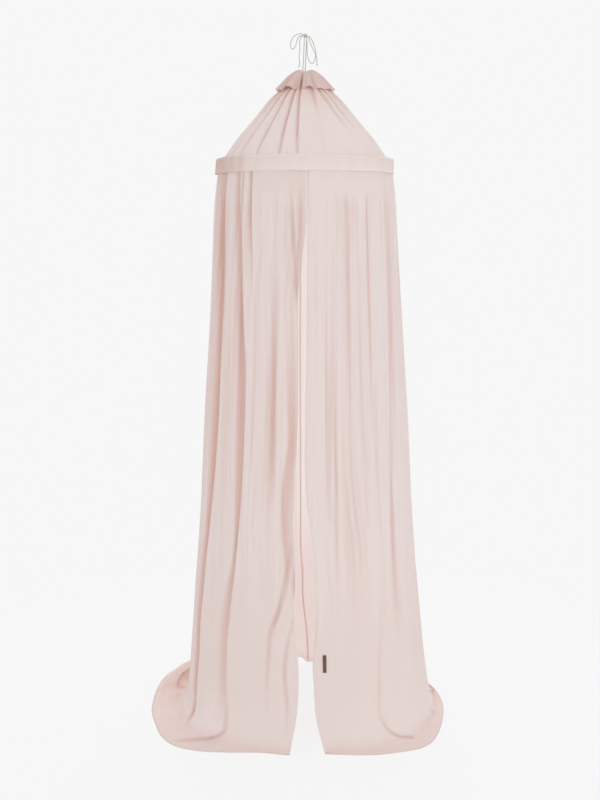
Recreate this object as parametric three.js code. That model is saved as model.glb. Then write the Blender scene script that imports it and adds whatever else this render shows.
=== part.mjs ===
// A bed crown canopy: a bow of cord, a gathered crown, a cloth cone, a hoop in its casing,
// and a long skirt whose two front curtains meet in a slit and trail on the floor.
// Millimetres, +Z up, the front of the canopy towards -Y. The origin is the point under the bow
// where the ceiling hook takes the cord.
import * as THREE from 'three';

// Heights, all counted down from the hook
const hookHeight = 2200;
const crownDrop = 103;
const hoopDrop = 378;
const bandDepth = 45;

// Hanging cord
const cordDiameter = 3.2;
const cordSides = 8;
const knotWidth = 15;
const knotDepth = 13;
const knotHeight = 12;
const knotFootWidth = 11;
const endKnotWidth = 5.6;
const endKnotHeight = 6.5;

// Crown: the cord's channel round the gathered neck, and the small frill over it
const neckCordRadius = 15.5;
const neckCordSink = 15;
const channelWall = 1.1;
const capOpeningRadius = 14.5;
const capReach = 94;
const capLift = 20;
const capFolds = 6;
const capFoldDepth = 7;
const capNotch = 7;

// Cloth and the clearances between its layers
const clothThickness = 1.2;
const seamClearance = 0.3;
const looseClearance = 0.8;

// Cone
const coneFolds = 16;
const coneFoldDepth = 6;
const coneFootInset = 12;
const coneFootRise = 2;

// Hoop: four bent tubes with a plug in each joint
const hoopRadius = 274;
const hoopTube = 10;
const hoopBore = 7;
const hoopPieces = 4;
const hoopJointGap = 0.6;
const plugLength = 44;
const hoopSides = 8;
const ringSteps = 48;

// Skirt
const hemRadius = 380;
const frontHemRadius = 352;
const skirtOutset = 1;
const skirtFoldDepth = 6;
const gatherDepth = 1;
const rearEdgeAngle = 135;
const frontFolds = 11;
const backFolds = 4;
const leftFlareHeight = 120;
const rightFlareHeight = 340;
const seamTapeWidth = 8;
const seamTapeThickness = 0.8;
const edgeClearance = 1;

// Leather label, sewn on by two rows of thread
const labelWidth = 13;
const labelHeight = 57;
const labelThickness = 1.4;
const stitchWidth = 9;
const stitchHeight = 1;
const stitchThickness = 0.5;
const stitchInset = 3;

// Front edge of each curtain: height as a share of the hook's height, then the place across
// the front as a share of the hem's radius
const leftEdgeShares = [
  [0, -0.121], [0.034, -0.092], [0.084, -0.053], [0.133, -0.053], [0.175, -0.087], [0.23, -0.076],
  [0.31, -0.103], [0.353, -0.089], [0.472, -0.055], [0.571, -0.061], [0.641, -0.063],
  [0.697, -0.032], [0.745, 0.008], [0.83, 0.019],
];
const rightEdgeShares = [
  [0, 0.155], [0.055, 0.084], [0.1, 0.068], [0.125, 0.058], [0.175, 0.082], [0.203, 0.092],
  [0.245, 0.082], [0.299, 0.061], [0.353, 0.016], [0.407, -0.005], [0.472, -0.003],
  [0.578, 0.008], [0.679, 0.013], [0.745, 0.017], [0.83, 0.022],
];
// Edge of the train on the floor: angle from the front as a share of a half turn, then the
// radius as a share of the hem's radius
const leftTrainShares = [
  [0, 0.965], [0.039, 0.976], [0.128, 0.997], [0.194, 1.113], [0.25, 1.245], [0.294, 1.33],
  [0.344, 1.355], [0.4, 1.353], [0.467, 1.371], [0.528, 1.379], [0.589, 1.4], [0.63, 1.4],
  [0.67, 1.36], [0.71, 1.24], [0.75, 1.06],
];
const rightTrainShares = [
  [0, 0.95], [0.05, 0.96], [0.106, 1.013], [0.172, 1.113], [0.222, 1.184], [0.272, 1.263],
  [0.306, 1.279], [0.339, 1.263], [0.4, 1.245], [0.522, 1.237], [0.61, 1.23], [0.66, 1.2],
  [0.71, 1.13], [0.75, 1.05],
];
// Depth of the skirt's folds along each curtain, from the front edge to the rear edge
const leftFoldShares = [[0, 0.5], [0.15, 0.7], [0.3, 1.5], [0.5, 1.6], [0.65, 1], [1, 1]];
const rightFoldShares = [[0, 0.5], [0.2, 0.7], [0.5, 0.9], [1, 1]];
// Crown frill, from its opening outwards: radius, height over the cone, fold depth and notch
const capShares = [[0.33, 0.87, 0.2, 0.45], [0.68, 0.95, 0.6, 0.1], [1, 1, 1, 0]];
const humpShare = 0.03;
// Cone, from the neck outwards: radius, drop and fold depth
const coneShares = [[0.105, 0.053, 0.4], [0.337, 0.231, 0.85], [0.67, 0.615, 1], [1, 1, 0.1]];
// Rows of the skirt between the band's edge and the flare, and along the flare
const skirtRowShares = [0.03, 0.12, 0.28, 0.46, 0.64, 0.82, 1];
const flareRowShares = [0.3, 0.62, 1];
const flareControlShare = 0.35;
const trainRestShare = 0.6;
// Share of the skirt's drop over which the small gathers grow into full folds
const gatherShare = 0.25;
// Height of the label's middle as a share of the right flare's height
const labelHeightShare = 0.853;

// Turns of the cloth round the hoop's tube, in degrees from its outside
const bandArc = [105, 0];
const facingArc = [150, 318];
// The cord's turn round the neck, in degrees from +X towards +Y
const neckTurn = [84, -212];

// Counts
const knotSides = 12;
const neckPoints = 14;
const plugSteps = 4;
const columnsPerFold = 4;
const labelColumn = 2;

// Colours as red, green and blue, with roughness
const muslin = { color: 0xe4d3cd, roughness: 0.95, metalness: 0 };
const crownMuslin = { color: 0xd8bab4, roughness: 0.95, metalness: 0 };
const cotton = { color: 0xf1efec, roughness: 0.9, metalness: 0 };
const hoopPlastic = { color: 0xe9e7e2, roughness: 0.55, metalness: 0 };
const tapeCloth = { color: 0xe8b9a4, roughness: 0.9, metalness: 0 };
const leather = { color: 0x6b4236, roughness: 0.6, metalness: 0 };
const thread = { color: 0x8a5f50, roughness: 0.85, metalness: 0 };

const halfTurn = Math.PI;
const floorZ = -hookHeight;
const halfCloth = clothThickness / 2;
const neckDrop = crownDrop + neckCordSink;
// Middle of the cloth where it wraps the hoop's tube, and the cone's foot beside it
const wrapRadius = hoopTube / 2 + seamClearance + halfCloth;
const coneFootRadius = hoopRadius - wrapRadius - coneFootInset;
const coneFootZ = -hoopDrop + hoopTube / 2 + coneFootRise;
const canopy = new THREE.Group();

function piece(name, geometry, look) {
  const mesh = new THREE.Mesh(geometry, new THREE.MeshStandardMaterial(look));
  mesh.name = name;
  canopy.add(mesh);
  return mesh;
}

// Value of a table of [place, value] rows at a place, straight between the rows
function readShares(table, place) {
  const next = table.findIndex((row) => row[0] >= place);
  if (next === 0) return table[0][1];
  if (next < 0) return table[table.length - 1][1];
  const [low, high] = [table[next - 1], table[next]];
  return THREE.MathUtils.mapLinear(place, low[0], high[0], low[1], high[1]);
}

// Angles are counted from the front, towards +X on side 1 and towards -X on side -1
function around(radius, angle, z, side) {
  return new THREE.Vector3(side * radius * Math.sin(angle), -radius * Math.cos(angle), z);
}

function signedVolume(points, faces) {
  let sum = 0;
  for (const [a, b, c] of faces) {
    sum += points[a].dot(new THREE.Vector3().crossVectors(points[b], points[c]));
  }
  return sum;
}

// Closed skin over a row of loops with equal point counts. A closed row joins its last loop to
// its first, and an open one gets a lid of strips at each end. The second half of a loop splits
// its quads the other way, so that the two faces of a thin sheet bend alike.
function skin(loops, closed) {
  const count = loops[0].length;
  const points = loops.flat();
  const faces = [];
  const quad = (a, b, c, d) => faces.push([a, b, c], [a, c, d]);
  const spans = closed ? loops.length : loops.length - 1;
  for (let i = 0; i < spans; i += 1) {
    const here = i * count;
    const there = ((i + 1) % loops.length) * count;
    for (let k = 0; k < count; k += 1) {
      const next = (k + 1) % count;
      if (k < count / 2) quad(here + k, here + next, there + next, there + k);
      else quad(here + next, there + next, there + k, here + k);
    }
  }
  if (!closed) {
    const last = (loops.length - 1) * count;
    for (let k = 0; k < count / 2 - 1; k += 1) {
      const far = count - 1 - k;
      quad(far, far - 1, k + 1, k);
      quad(last + k, last + k + 1, last + far - 1, last + far);
    }
  }
  if (signedVolume(points, faces) < 0) faces.forEach((face) => face.reverse());
  const geometry = new THREE.BufferGeometry();
  geometry.setAttribute('position', new THREE.Float32BufferAttribute(points.flatMap((p) => [...p]), 3));
  geometry.setIndex(faces.flat());
  geometry.computeVertexNormals();
  return geometry;
}

// Outline of a strip of cloth that follows a path of [radius, z] points
function stripLoop(path, thickness) {
  const outer = [];
  const inner = [];
  path.forEach((point, i) => {
    const before = path[Math.max(i - 1, 0)];
    const after = path[Math.min(i + 1, path.length - 1)];
    const direction = new THREE.Vector2(after[0] - before[0], after[1] - before[1]).normalize();
    const offset = thickness / 2;
    outer.push([point[0] - direction.y * offset, point[1] + direction.x * offset]);
    inner.unshift([point[0] + direction.y * offset, point[1] - direction.x * offset]);
  });
  return outer.concat(inner);
}

function turned(loop, steps) {
  const loops = [];
  for (let i = 0; i < steps; i += 1) {
    const angle = (2 * halfTurn * i) / steps;
    loops.push(loop.map(([radius, z]) => around(radius, angle, z, 1)));
  }
  return skin(loops, true);
}

function arcPath(radius, fromDegrees, toDegrees, steps) {
  const path = [];
  for (let i = 0; i <= steps; i += 1) {
    const angle = THREE.MathUtils.degToRad(THREE.MathUtils.lerp(fromDegrees, toDegrees, i / steps));
    path.push([hoopRadius + radius * Math.cos(angle), -hoopDrop + radius * Math.sin(angle)]);
  }
  return path;
}

// Cord along route points, which stay as chosen
function cord(route, steps) {
  const section = new THREE.Shape();
  for (let i = 0; i < cordSides; i += 1) {
    const angle = (2 * halfTurn * i) / cordSides;
    const x = (cordDiameter / 2) * Math.cos(angle);
    const y = (cordDiameter / 2) * Math.sin(angle);
    if (i === 0) section.moveTo(x, y);
    else section.lineTo(x, y);
  }
  section.closePath();
  const curve = new THREE.CatmullRomCurve3(route.map((p) => new THREE.Vector3(...p)), false, 'centripetal');
  return new THREE.ExtrudeGeometry(section, { steps, extrudePath: curve, curveSegments: 1 });
}

// The knot of the bow, a lump of wrapped cord with a flat foot over the two strands
function bowKnot() {
  const knotShares = [[knotFootWidth / knotWidth, 0], [0.96, 0.25], [1, 0.55], [0.84, 0.85], [0.5, 1]];
  const loops = knotShares.map(([width, height]) => {
    const loop = [];
    for (let i = 0; i < knotSides; i += 1) {
      const angle = (2 * halfTurn * i) / knotSides;
      const x = (width * knotWidth * Math.sin(angle)) / 2;
      const y = (width * knotDepth * Math.cos(angle)) / 2;
      loop.push(new THREE.Vector3(x, y, height * knotHeight));
    }
    return loop;
  });
  piece('bow_knot', skin(loops, false), cotton);
}

function bowCords() {
  const leftLoop = [
    [-7.5, -2.2, 8.8], [-15, -3, 11.5], [-25, -3, 9.5], [-36, -2.4, 2.5], [-43.5, -1.4, -8],
    [-46.8, -0.4, -20], [-45.8, 0.4, -29.5], [-40.5, 1, -34.5], [-34.5, 1.6, -30.5],
    [-29.5, 2.2, -20], [-26, 2.8, -7], [-21.5, 3.2, 2], [-15, 3.2, 6], [-8.1, 2.4, 6.4],
  ];
  const rightLoop = [
    [2.6, -7.9, 4], [4.4, -9.6, -3], [5, -10.6, -15], [5, -11.4, -30], [5.4, -12, -45],
    [7, -12, -60], [10.6, -12, -71], [16.4, -12, -78], [22.6, -12, -78.5], [28, -12, -72],
    [31, -12, -60], [30.4, -12, -50], [26.6, -11.6, -42], [20.5, -11, -30], [14.6, -10, -16],
    [10.8, -7.4, -4], [7.6, -5.2, 3],
  ];
  const leftTail = [
    [-7.2, -3.6, 3.6], [-12.4, -5.6, 1.4], [-16.4, -6.4, -5], [-18.2, -6.8, -14], [-17.8, -7, -27],
    [-17.2, -7, -39], [-19.4, -7, -51], [-19.4, -7, -63], [-18, -7, -75], [-18.6, -7, -84], [-22.4, -7, -92],
  ];
  const rightTail = [
    [8.2, -1.2, 4.4], [13.6, -2.4, 1], [18.6, -3.4, -5.6], [24, -4, -16], [28.4, -4.2, -28],
    [31.8, -4.2, -42], [34, -4.2, -56], [35.4, -4.2, -68], [36.2, -4.2, -79],
  ];
  piece('bow_loop_left', cord(leftLoop, 26), cotton);
  piece('bow_loop_right', cord(rightLoop, 32), cotton);
  piece('bow_tail_left', cord(leftTail, 16), cotton);
  piece('bow_tail_right', cord(rightTail, 14), cotton);
  endKnot(rightTail[rightTail.length - 1]);
}

// The overhand knot at the end of the right tail hangs just under the cord
function endKnot([x, y, z]) {
  const endShares = [[0.5, 0], [0.9, 0.2], [1, 0.5], [0.9, 0.8], [0.45, 1]];
  const loops = endShares.map(([width, height]) => {
    const loop = [];
    for (let i = 0; i < cordSides; i += 1) {
      const angle = (2 * halfTurn * i) / cordSides;
      const reach = (width * endKnotWidth) / 2;
      const drop = seamClearance + (1 - height) * endKnotHeight;
      loop.push(new THREE.Vector3(x + reach * Math.sin(angle), y + reach * Math.cos(angle), z - drop));
    }
    return loop;
  });
  piece('tail_end_knot', skin(loops, false), cotton);
}

// One cord makes both strands: down from the bow, round the gathered neck, and up again
function hangingCord() {
  const route = [
    [-3.5, 0, -0.3], [-4.2, 0, -20], [-5.2, 0, -45], [-6.6, 0, -72], [-7.8, 0.6, -96],
    [-7.6, 3, -107], [-6.2, 7.6, -113.4], [-3.4, 12.4, -116.8],
  ];
  for (let i = 0; i <= neckPoints; i += 1) {
    const angle = THREE.MathUtils.degToRad(THREE.MathUtils.lerp(...neckTurn, i / neckPoints));
    route.push([neckCordRadius * Math.cos(angle), neckCordRadius * Math.sin(angle), -neckDrop]);
  }
  route.push(
    [-10.2, 8.8, -117.4], [-6.6, 9.8, -114.4], [-2.8, 7.4, -109], [-0.9, 3.2, -102.5], [-0.2, 0.6, -92],
    [0.6, 0, -67], [1.8, 0, -42], [2.8, 0, -20], [3.5, 0, -0.3],
  );
  piece('hanging_cord', cord(route, 58), cotton);
}

// The folded tape that holds the cord round the neck, open towards the middle
function neckChannel() {
  const half = cordDiameter / 2 + seamClearance;
  const inside = neckCordRadius + half;
  const outside = inside + channelWall;
  const lip = neckCordRadius;
  const rim = half + channelWall;
  const corners = [[lip, rim], [outside, rim], [outside, -rim], [lip, -rim], [lip, -half],
    [inside, -half], [inside, half], [lip, half]];
  const loop = corners.map(([radius, height]) => [radius, height - neckDrop]);
  piece('neck_channel', turned(loop, ringSteps / 2), tapeCloth);
}

const neckRadius = neckCordRadius + cordDiameter / 2 + channelWall + gatherDepth + halfCloth + 2 * seamClearance;
const neckFootZ = -neckDrop - cordDiameter - channelWall;

// Rows of the cone below its neck, as [radius, z, fold, notch]
const coneRows = coneShares.map(([radius, drop, fold]) => {
  const out = THREE.MathUtils.lerp(neckRadius, coneFootRadius, radius);
  return [out, THREE.MathUtils.lerp(neckFootZ, coneFootZ, drop), fold * coneFoldDepth, 0];
});
const coneLine = [[neckRadius, neckFootZ, 0, 0], ...coneRows];

// Rows of the crown's frill, which follows the cone a little above it
const humpRadius = THREE.MathUtils.lerp(capOpeningRadius, capReach, humpShare);
const capRows = [
  [capOpeningRadius, -crownDrop - 2 * clothThickness, 0, capNotch],
  [humpRadius, -crownDrop, 0, capNotch],
  ...capShares.map(([radius, lift, fold, notch]) => {
    const out = THREE.MathUtils.lerp(capOpeningRadius, capReach, radius);
    return [out, readShares(coneLine, out) + lift * capLift, fold * capFoldDepth, notch * capNotch];
  }),
];
// The neck's top edge lies just under the frill at the bottom of its notch
const neckEdgeRadius = neckRadius + halfCloth;
const notchLine = capRows.map(([radius, z, , notch]) => [radius, z - notch]);
const neckTopZ = readShares(notchLine, neckEdgeRadius) - clothThickness;

// A ring of cloth from [radius, z, fold, notch] rows. The folds wave it in and out, with a hollow
// at the front, and the notch lowers its front and back.
function foldedRing(rows, folds, stepsPerFold) {
  const steps = folds * stepsPerFold;
  const loops = [];
  for (let i = 0; i < steps; i += 1) {
    const angle = (2 * halfTurn * i) / steps;
    const wave = -Math.cos(folds * angle);
    const dip = Math.cos(angle) ** 4;
    const path = rows.map(([radius, z, depth, notch]) => [radius + depth * wave, z - notch * dip]);
    loops.push(stripLoop(path, clothThickness).map(([radius, z]) => around(radius, angle, z, 1)));
  }
  return skin(loops, true);
}

function crownCap() {
  piece('crown_cap', foldedRing(capRows, capFolds, 6), crownMuslin);
}

function coneCloth() {
  const neck = [[neckRadius, neckTopZ, gatherDepth, 0], [neckRadius, neckFootZ, gatherDepth, 0]];
  piece('cone_cloth', foldedRing([...neck, ...coneRows], coneFolds, 4), muslin);
}

// The band covers the hoop from above and hangs down over the skirt's top
function hoopBand() {
  const ledge = [coneFootRadius + looseClearance + clothThickness, coneFootZ + clothThickness];
  const edge = [hoopRadius + wrapRadius, -hoopDrop + wrapRadius - bandDepth - clothThickness];
  const path = [ledge, ...arcPath(wrapRadius, ...bandArc, 4), edge];
  piece('hoop_band', turned(stripLoop(path, clothThickness), ringSteps), muslin);
}

// The facing closes the hoop's casing from the inside and from below
function casingFacing() {
  const start = [coneFootRadius + looseClearance, coneFootZ - 3 * clothThickness];
  const path = [start, ...arcPath(wrapRadius, ...facingArc, 5)];
  piece('casing_facing', turned(stripLoop(path, clothThickness), ringSteps), muslin);
}

// The hoop follows the flat sides of a ring of ringSteps sides, as its casing does
function tubeLoop(diameter, angle) {
  const half = halfTurn / ringSteps;
  const past = THREE.MathUtils.euclideanModulo(angle, 2 * half) - half;
  const flatShare = Math.cos(half) / Math.cos(past);
  const loop = [];
  for (let k = 0; k < hoopSides; k += 1) {
    const turn = (2 * halfTurn * (k + 0.5)) / hoopSides;
    const radius = (hoopRadius + (diameter / 2) * Math.cos(turn)) * flatShare;
    loop.push(around(radius, angle, -hoopDrop + (diameter / 2) * Math.sin(turn), 1));
  }
  return loop;
}

function bentRun(diameter, from, to, steps) {
  const loops = [];
  for (let i = 0; i <= steps; i += 1) {
    loops.push(tubeLoop(diameter, THREE.MathUtils.lerp(from, to, i / steps)));
  }
  return loops;
}

function hoop() {
  const share = (2 * halfTurn) / hoopPieces;
  const steps = ringSteps / hoopPieces;
  const gapAngle = hoopJointGap / hoopRadius;
  const plugAngle = plugLength / hoopRadius;
  for (let i = 0; i < hoopPieces; i += 1) {
    const start = i * share + gapAngle / 2;
    const end = (i + 1) * share - gapAngle / 2;
    const outside = bentRun(hoopTube, start, end, steps);
    const bore = bentRun(hoopBore, start, end, steps).reverse();
    piece(`hoop_tube_${i + 1}`, skin(outside.concat(bore), true), hoopPlastic);
    const plug = bentRun(hoopBore - 2 * seamClearance, -plugAngle / 2, plugAngle / 2, plugSteps);
    const mesh = piece(`hoop_plug_${i + 1}`, skin(plug, false), hoopPlastic);
    mesh.rotation.z = i * share;
  }
}

const skirtTopZ = -hoopDrop - wrapRadius - clothThickness / 2 - seamClearance;
const bandEdgeZ = -hoopDrop + wrapRadius - bandDepth - clothThickness;
const frontTopRadius = hoopRadius + wrapRadius - clothThickness - gatherDepth - 3 * seamClearance;
const skirtBandRadius = hoopRadius + wrapRadius + skirtOutset;
const backTopRadius = frontTopRadius - 2 * gatherDepth - clothThickness - seamClearance;
const layerStep = 2 * skirtFoldDepth + clothThickness + looseClearance;

// Radius of the skirt's middle line and the depth of its folds at a height below the band
function skirtLine(z, angle) {
  const down = (bandEdgeZ - z) / (bandEdgeZ - floorZ);
  const front = Math.min(angle / (halfTurn / 2), 1);
  const foot = THREE.MathUtils.lerp(frontHemRadius, hemRadius, front);
  return THREE.MathUtils.lerp(skirtBandRadius, foot, down);
}

function foldDepthAt(z) {
  const down = (bandEdgeZ - z) / (bandEdgeZ - floorZ);
  return THREE.MathUtils.lerp(gatherDepth, skirtFoldDepth, Math.min(down / gatherShare, 1));
}

// Path of a curtain in the plane at one angle, as [radius, z, fold] rows from the casing down
function curtainPath(angle, flareHeight, trainRadius) {
  const flareZ = floorZ + flareHeight;
  const path = [[frontTopRadius, skirtTopZ, gatherDepth], [frontTopRadius, bandEdgeZ, gatherDepth]];
  for (const share of skirtRowShares) {
    const z = THREE.MathUtils.lerp(bandEdgeZ, flareZ, share);
    path.push([skirtLine(z, angle), z, foldDepthAt(z)]);
  }
  const start = path[path.length - 1];
  const foot = skirtLine(floorZ, angle);
  const train = Math.max(trainRadius - foot, 4 * clothThickness);
  const control = foot + flareControlShare * trainRestShare * train;
  const rest = foot + trainRestShare * train;
  for (const t of flareRowShares) {
    const radius = (1 - t) ** 2 * start[0] + 2 * t * (1 - t) * control + t * t * rest;
    const z = THREE.MathUtils.lerp(floorZ + halfCloth, flareZ, (1 - t) ** 2);
    path.push([radius, z, skirtFoldDepth * (1 - t / 2)]);
  }
  path.push([foot + train, floorZ + halfCloth, skirtFoldDepth / 2]);
  return path;
}

// Angle of a curtain's front edge at a height
function edgeAngle(edgeShares, z, side) {
  const across = side * hemRadius * readShares(edgeShares, (z - floorZ) / hookHeight);
  return (across + edgeClearance / 2) / skirtLine(z, 0);
}

// A curtain's outline at one column, waved by its folds and no lower than the floor
function curtainColumn(curtain, column) {
  const u = column / curtain.columns;
  const wave = -Math.cos(2 * halfTurn * curtain.folds * u);
  const rear = THREE.MathUtils.degToRad(rearEdgeAngle);
  const straight = THREE.MathUtils.lerp(0, rear, u);
  const trainRadius = hemRadius * readShares(curtain.trainShares, straight / halfTurn);
  const rows = curtainPath(straight, curtain.flareHeight, trainRadius);
  const share = readShares(curtain.foldShares, u);
  const path = rows.map(([radius, z, depth]) => [radius + wave * depth * Math.min(share, depth), z]);
  const angles = rows.map(([, z]) => THREE.MathUtils.lerp(edgeAngle(curtain.edgeShares, z, curtain.side), rear, u));
  const loop = stripLoop(path, clothThickness);
  return loop.map(([radius, z], k) => {
    const under = k >= rows.length;
    const row = under ? loop.length - 1 - k : k;
    const lying = under && rows[row][1] === floorZ + halfCloth;
    return around(radius, angles[row], lying ? floorZ : Math.max(z, floorZ), curtain.side);
  });
}

const frontColumns = frontFolds * columnsPerFold;
const leftCurtain = {
  side: -1, columns: frontColumns, folds: frontFolds, flareHeight: leftFlareHeight,
  edgeShares: leftEdgeShares, trainShares: leftTrainShares, foldShares: leftFoldShares,
};
const rightCurtain = {
  side: 1, columns: frontColumns, folds: frontFolds, flareHeight: rightFlareHeight,
  edgeShares: rightEdgeShares, trainShares: rightTrainShares, foldShares: rightFoldShares,
};

function frontCurtain(name, curtain) {
  const loops = [];
  for (let i = 0; i <= curtain.columns; i += 1) loops.push(curtainColumn(curtain, i));
  piece(name, skin(loops, false), muslin);
}

// Back of the skirt, one layer further in than the front curtains, which draw round outside it
function backRow(share) {
  const z = THREE.MathUtils.lerp(bandEdgeZ, floorZ, share);
  return [skirtLine(z, halfTurn) - layerStep, z, skirtFoldDepth];
}

function backRows() {
  const top = [[backTopRadius, skirtTopZ, gatherDepth], [backTopRadius, bandEdgeZ, gatherDepth]];
  const nearBand = skirtRowShares[0];
  const near = backRow(nearBand);
  near[2] = foldDepthAt(near[1]);
  near[0] = skirtLine(near[1], halfTurn) - 2 * near[2] - clothThickness - looseClearance;
  return [...top, near, ...skirtRowShares.slice(2).map(backRow)];
}

function backCurtain(name, side) {
  const start = THREE.MathUtils.degToRad(rearEdgeAngle) + edgeClearance / hoopRadius;
  const rows = backRows();
  const columns = backFolds * columnsPerFold;
  const loops = [];
  for (let i = 0; i <= columns; i += 1) {
    const u = i / columns;
    const wave = -Math.cos(2 * halfTurn * backFolds * u);
    const path = rows.map(([radius, z, depth]) => [radius + wave * depth, z]);
    const end = rows.map(([radius]) => halfTurn - edgeClearance / 2 / radius);
    const loop = stripLoop(path, clothThickness);
    loops.push(loop.map(([radius, z], k) => {
      const row = k < rows.length ? k : loop.length - 1 - k;
      return around(radius, THREE.MathUtils.lerp(start, end[row], u), Math.max(z, floorZ), side);
    }));
  }
  piece(name, skin(loops, false), muslin);
}

// Tape that binds the centre back seam on the inside
function seamTape() {
  const inset = halfCloth + seamClearance + seamTapeThickness / 2;
  const path = backRows().map(([radius, z, depth]) => [radius - depth - inset, z]);
  const loop = stripLoop(path, seamTapeThickness);
  const loops = [-1, 1].map((side) => loop.map(([radius, z]) => {
    return new THREE.Vector3((side * seamTapeWidth) / 2, radius, z);
  }));
  piece('back_seam_tape', skin(loops, false), tapeCloth);
}

// The label lies on the first fold behind the right curtain's front edge
function label() {
  const column = curtainColumn(rightCurtain, labelColumn);
  const flareRow = skirtRowShares.length + 1;
  const [high, low] = [column[flareRow], column[flareRow + 1]];
  const middleZ = floorZ + labelHeightShare * rightFlareHeight;
  const share = (high.z - middleZ) / (high.z - low.z);
  const centre = new THREE.Vector3().lerpVectors(high, low, share);
  const up = new THREE.Vector3().subVectors(high, low).normalize();
  const out = new THREE.Vector3(centre.x, centre.y, 0).normalize();
  out.addScaledVector(up, -out.dot(up)).normalize();
  const across = new THREE.Vector3().crossVectors(out, up);
  const turn = new THREE.Matrix4().makeBasis(across, out, up);
  const place = (name, size, lift, rise, look) => {
    const mesh = piece(name, new THREE.BoxGeometry(...size), look);
    mesh.quaternion.setFromRotationMatrix(turn);
    mesh.position.copy(centre).addScaledVector(out, lift).addScaledVector(up, rise);
  };
  const face = seamClearance + labelThickness;
  place('leather_label', [labelWidth, labelThickness, labelHeight], face - labelThickness / 2, 0, leather);
  const stitchSize = [stitchWidth, stitchThickness, stitchHeight];
  const lift = face + seamClearance + stitchThickness / 2;
  const rise = labelHeight / 2 - stitchInset;
  place('label_stitch_top', stitchSize, lift, rise, thread);
  place('label_stitch_bottom', stitchSize, lift, -rise, thread);
}

bowKnot();
bowCords();
hangingCord();
neckChannel();
crownCap();
coneCloth();
hoopBand();
casingFacing();
hoop();
frontCurtain('front_curtain_left', leftCurtain);
frontCurtain('front_curtain_right', rightCurtain);
backCurtain('back_curtain_left', -1);
backCurtain('back_curtain_right', 1);
seamTape();
label();

export default canopy;
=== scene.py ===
import math

import bmesh
import bpy
import numpy as np
from mathutils import Matrix, Vector, noise


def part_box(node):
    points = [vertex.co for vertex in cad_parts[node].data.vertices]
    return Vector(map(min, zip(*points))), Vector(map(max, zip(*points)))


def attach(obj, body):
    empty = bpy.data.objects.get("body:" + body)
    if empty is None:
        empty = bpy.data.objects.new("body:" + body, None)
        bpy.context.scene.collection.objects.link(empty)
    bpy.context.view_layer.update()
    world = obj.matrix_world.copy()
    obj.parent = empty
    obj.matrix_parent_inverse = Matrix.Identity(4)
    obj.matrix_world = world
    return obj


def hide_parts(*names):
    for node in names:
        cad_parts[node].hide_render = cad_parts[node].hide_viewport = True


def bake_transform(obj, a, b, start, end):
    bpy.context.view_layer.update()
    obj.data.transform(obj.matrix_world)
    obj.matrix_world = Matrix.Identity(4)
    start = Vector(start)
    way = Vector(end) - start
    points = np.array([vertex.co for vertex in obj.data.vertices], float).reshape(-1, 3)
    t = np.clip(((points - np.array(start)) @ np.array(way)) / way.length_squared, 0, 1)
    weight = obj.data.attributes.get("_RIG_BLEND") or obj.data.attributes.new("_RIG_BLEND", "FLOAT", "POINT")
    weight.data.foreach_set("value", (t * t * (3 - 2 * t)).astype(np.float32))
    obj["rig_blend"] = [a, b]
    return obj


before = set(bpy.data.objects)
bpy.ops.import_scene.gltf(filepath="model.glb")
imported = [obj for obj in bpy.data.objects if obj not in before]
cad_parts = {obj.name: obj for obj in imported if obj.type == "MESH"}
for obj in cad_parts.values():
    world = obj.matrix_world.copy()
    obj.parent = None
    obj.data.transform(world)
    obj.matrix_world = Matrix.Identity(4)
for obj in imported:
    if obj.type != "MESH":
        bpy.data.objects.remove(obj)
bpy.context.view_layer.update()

scene = bpy.context.scene
scene.view_settings.view_transform = "Standard"
bpy.ops.object.select_all(action="DESELECT")

# The camera stands 3.57 m in front of the canopy's axis and 1.63 m above the floor, and looks
# down by 9 degrees, as a fit to the band, the slit, the trains and the back hem gives.
floor_z = -2.2
camera_place = (-0.017, -3.569, floor_z + 1.627)
camera_pitch = 9.08
camera_data = bpy.data.cameras.new("camera")
camera_data.sensor_width = 36
camera_data.lens = 49.6
camera = bpy.data.objects.new("camera", camera_data)
camera.location = camera_place
camera.rotation_euler = (math.radians(90 - camera_pitch), 0, 0)
scene.collection.objects.link(camera)
scene.camera = camera


# The bow at the top, the cord that carries the canopy, and its end knot: off-white cotton cord
# of three plies, 3.2 mm thick. One cord runs down from the bow, round the gathered neck and up
# again, and its two ends make the bow over the ceiling hook.
cord_diameter = 0.0032
ply_count = 3
ply_pitch = 0.011
ply_groove_share = 0.13
cord_sides = 12
cord_step = 0.0014

hanging_down = [
    (-0.0035, 0, -0.0003), (-0.0042, 0, -0.020), (-0.0052, 0, -0.045), (-0.0066, 0, -0.072),
    (-0.0078, 0.0006, -0.096), (-0.0076, 0.003, -0.107), (-0.0062, 0.0076, -0.1134),
    (-0.0034, 0.0124, -0.1168),
]
hanging_up = [
    (-0.0102, 0.0088, -0.1174), (-0.0066, 0.0098, -0.1144), (-0.0028, 0.0074, -0.109),
    (-0.0009, 0.0032, -0.1025), (-0.0002, 0.0006, -0.092), (0.0006, 0, -0.067),
    (0.0018, 0, -0.042), (0.0028, 0, -0.020), (0.0035, 0, -0.0003),
]
neck_cord_radius = 0.0155
neck_z = -0.118
neck_points = 15
left_loop_route = [
    (-0.0075, -0.0022, 0.0088), (-0.015, -0.003, 0.0115), (-0.025, -0.003, 0.0095),
    (-0.036, -0.0024, 0.0025), (-0.0435, -0.0014, -0.008), (-0.0468, -0.0004, -0.020),
    (-0.0458, 0.0004, -0.0295), (-0.0405, 0.001, -0.0345), (-0.0345, 0.0016, -0.0305),
    (-0.0295, 0.0022, -0.020), (-0.026, 0.0028, -0.007), (-0.0215, 0.0032, 0.002),
    (-0.015, 0.0032, 0.006), (-0.0081, 0.0024, 0.0064),
]
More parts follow.
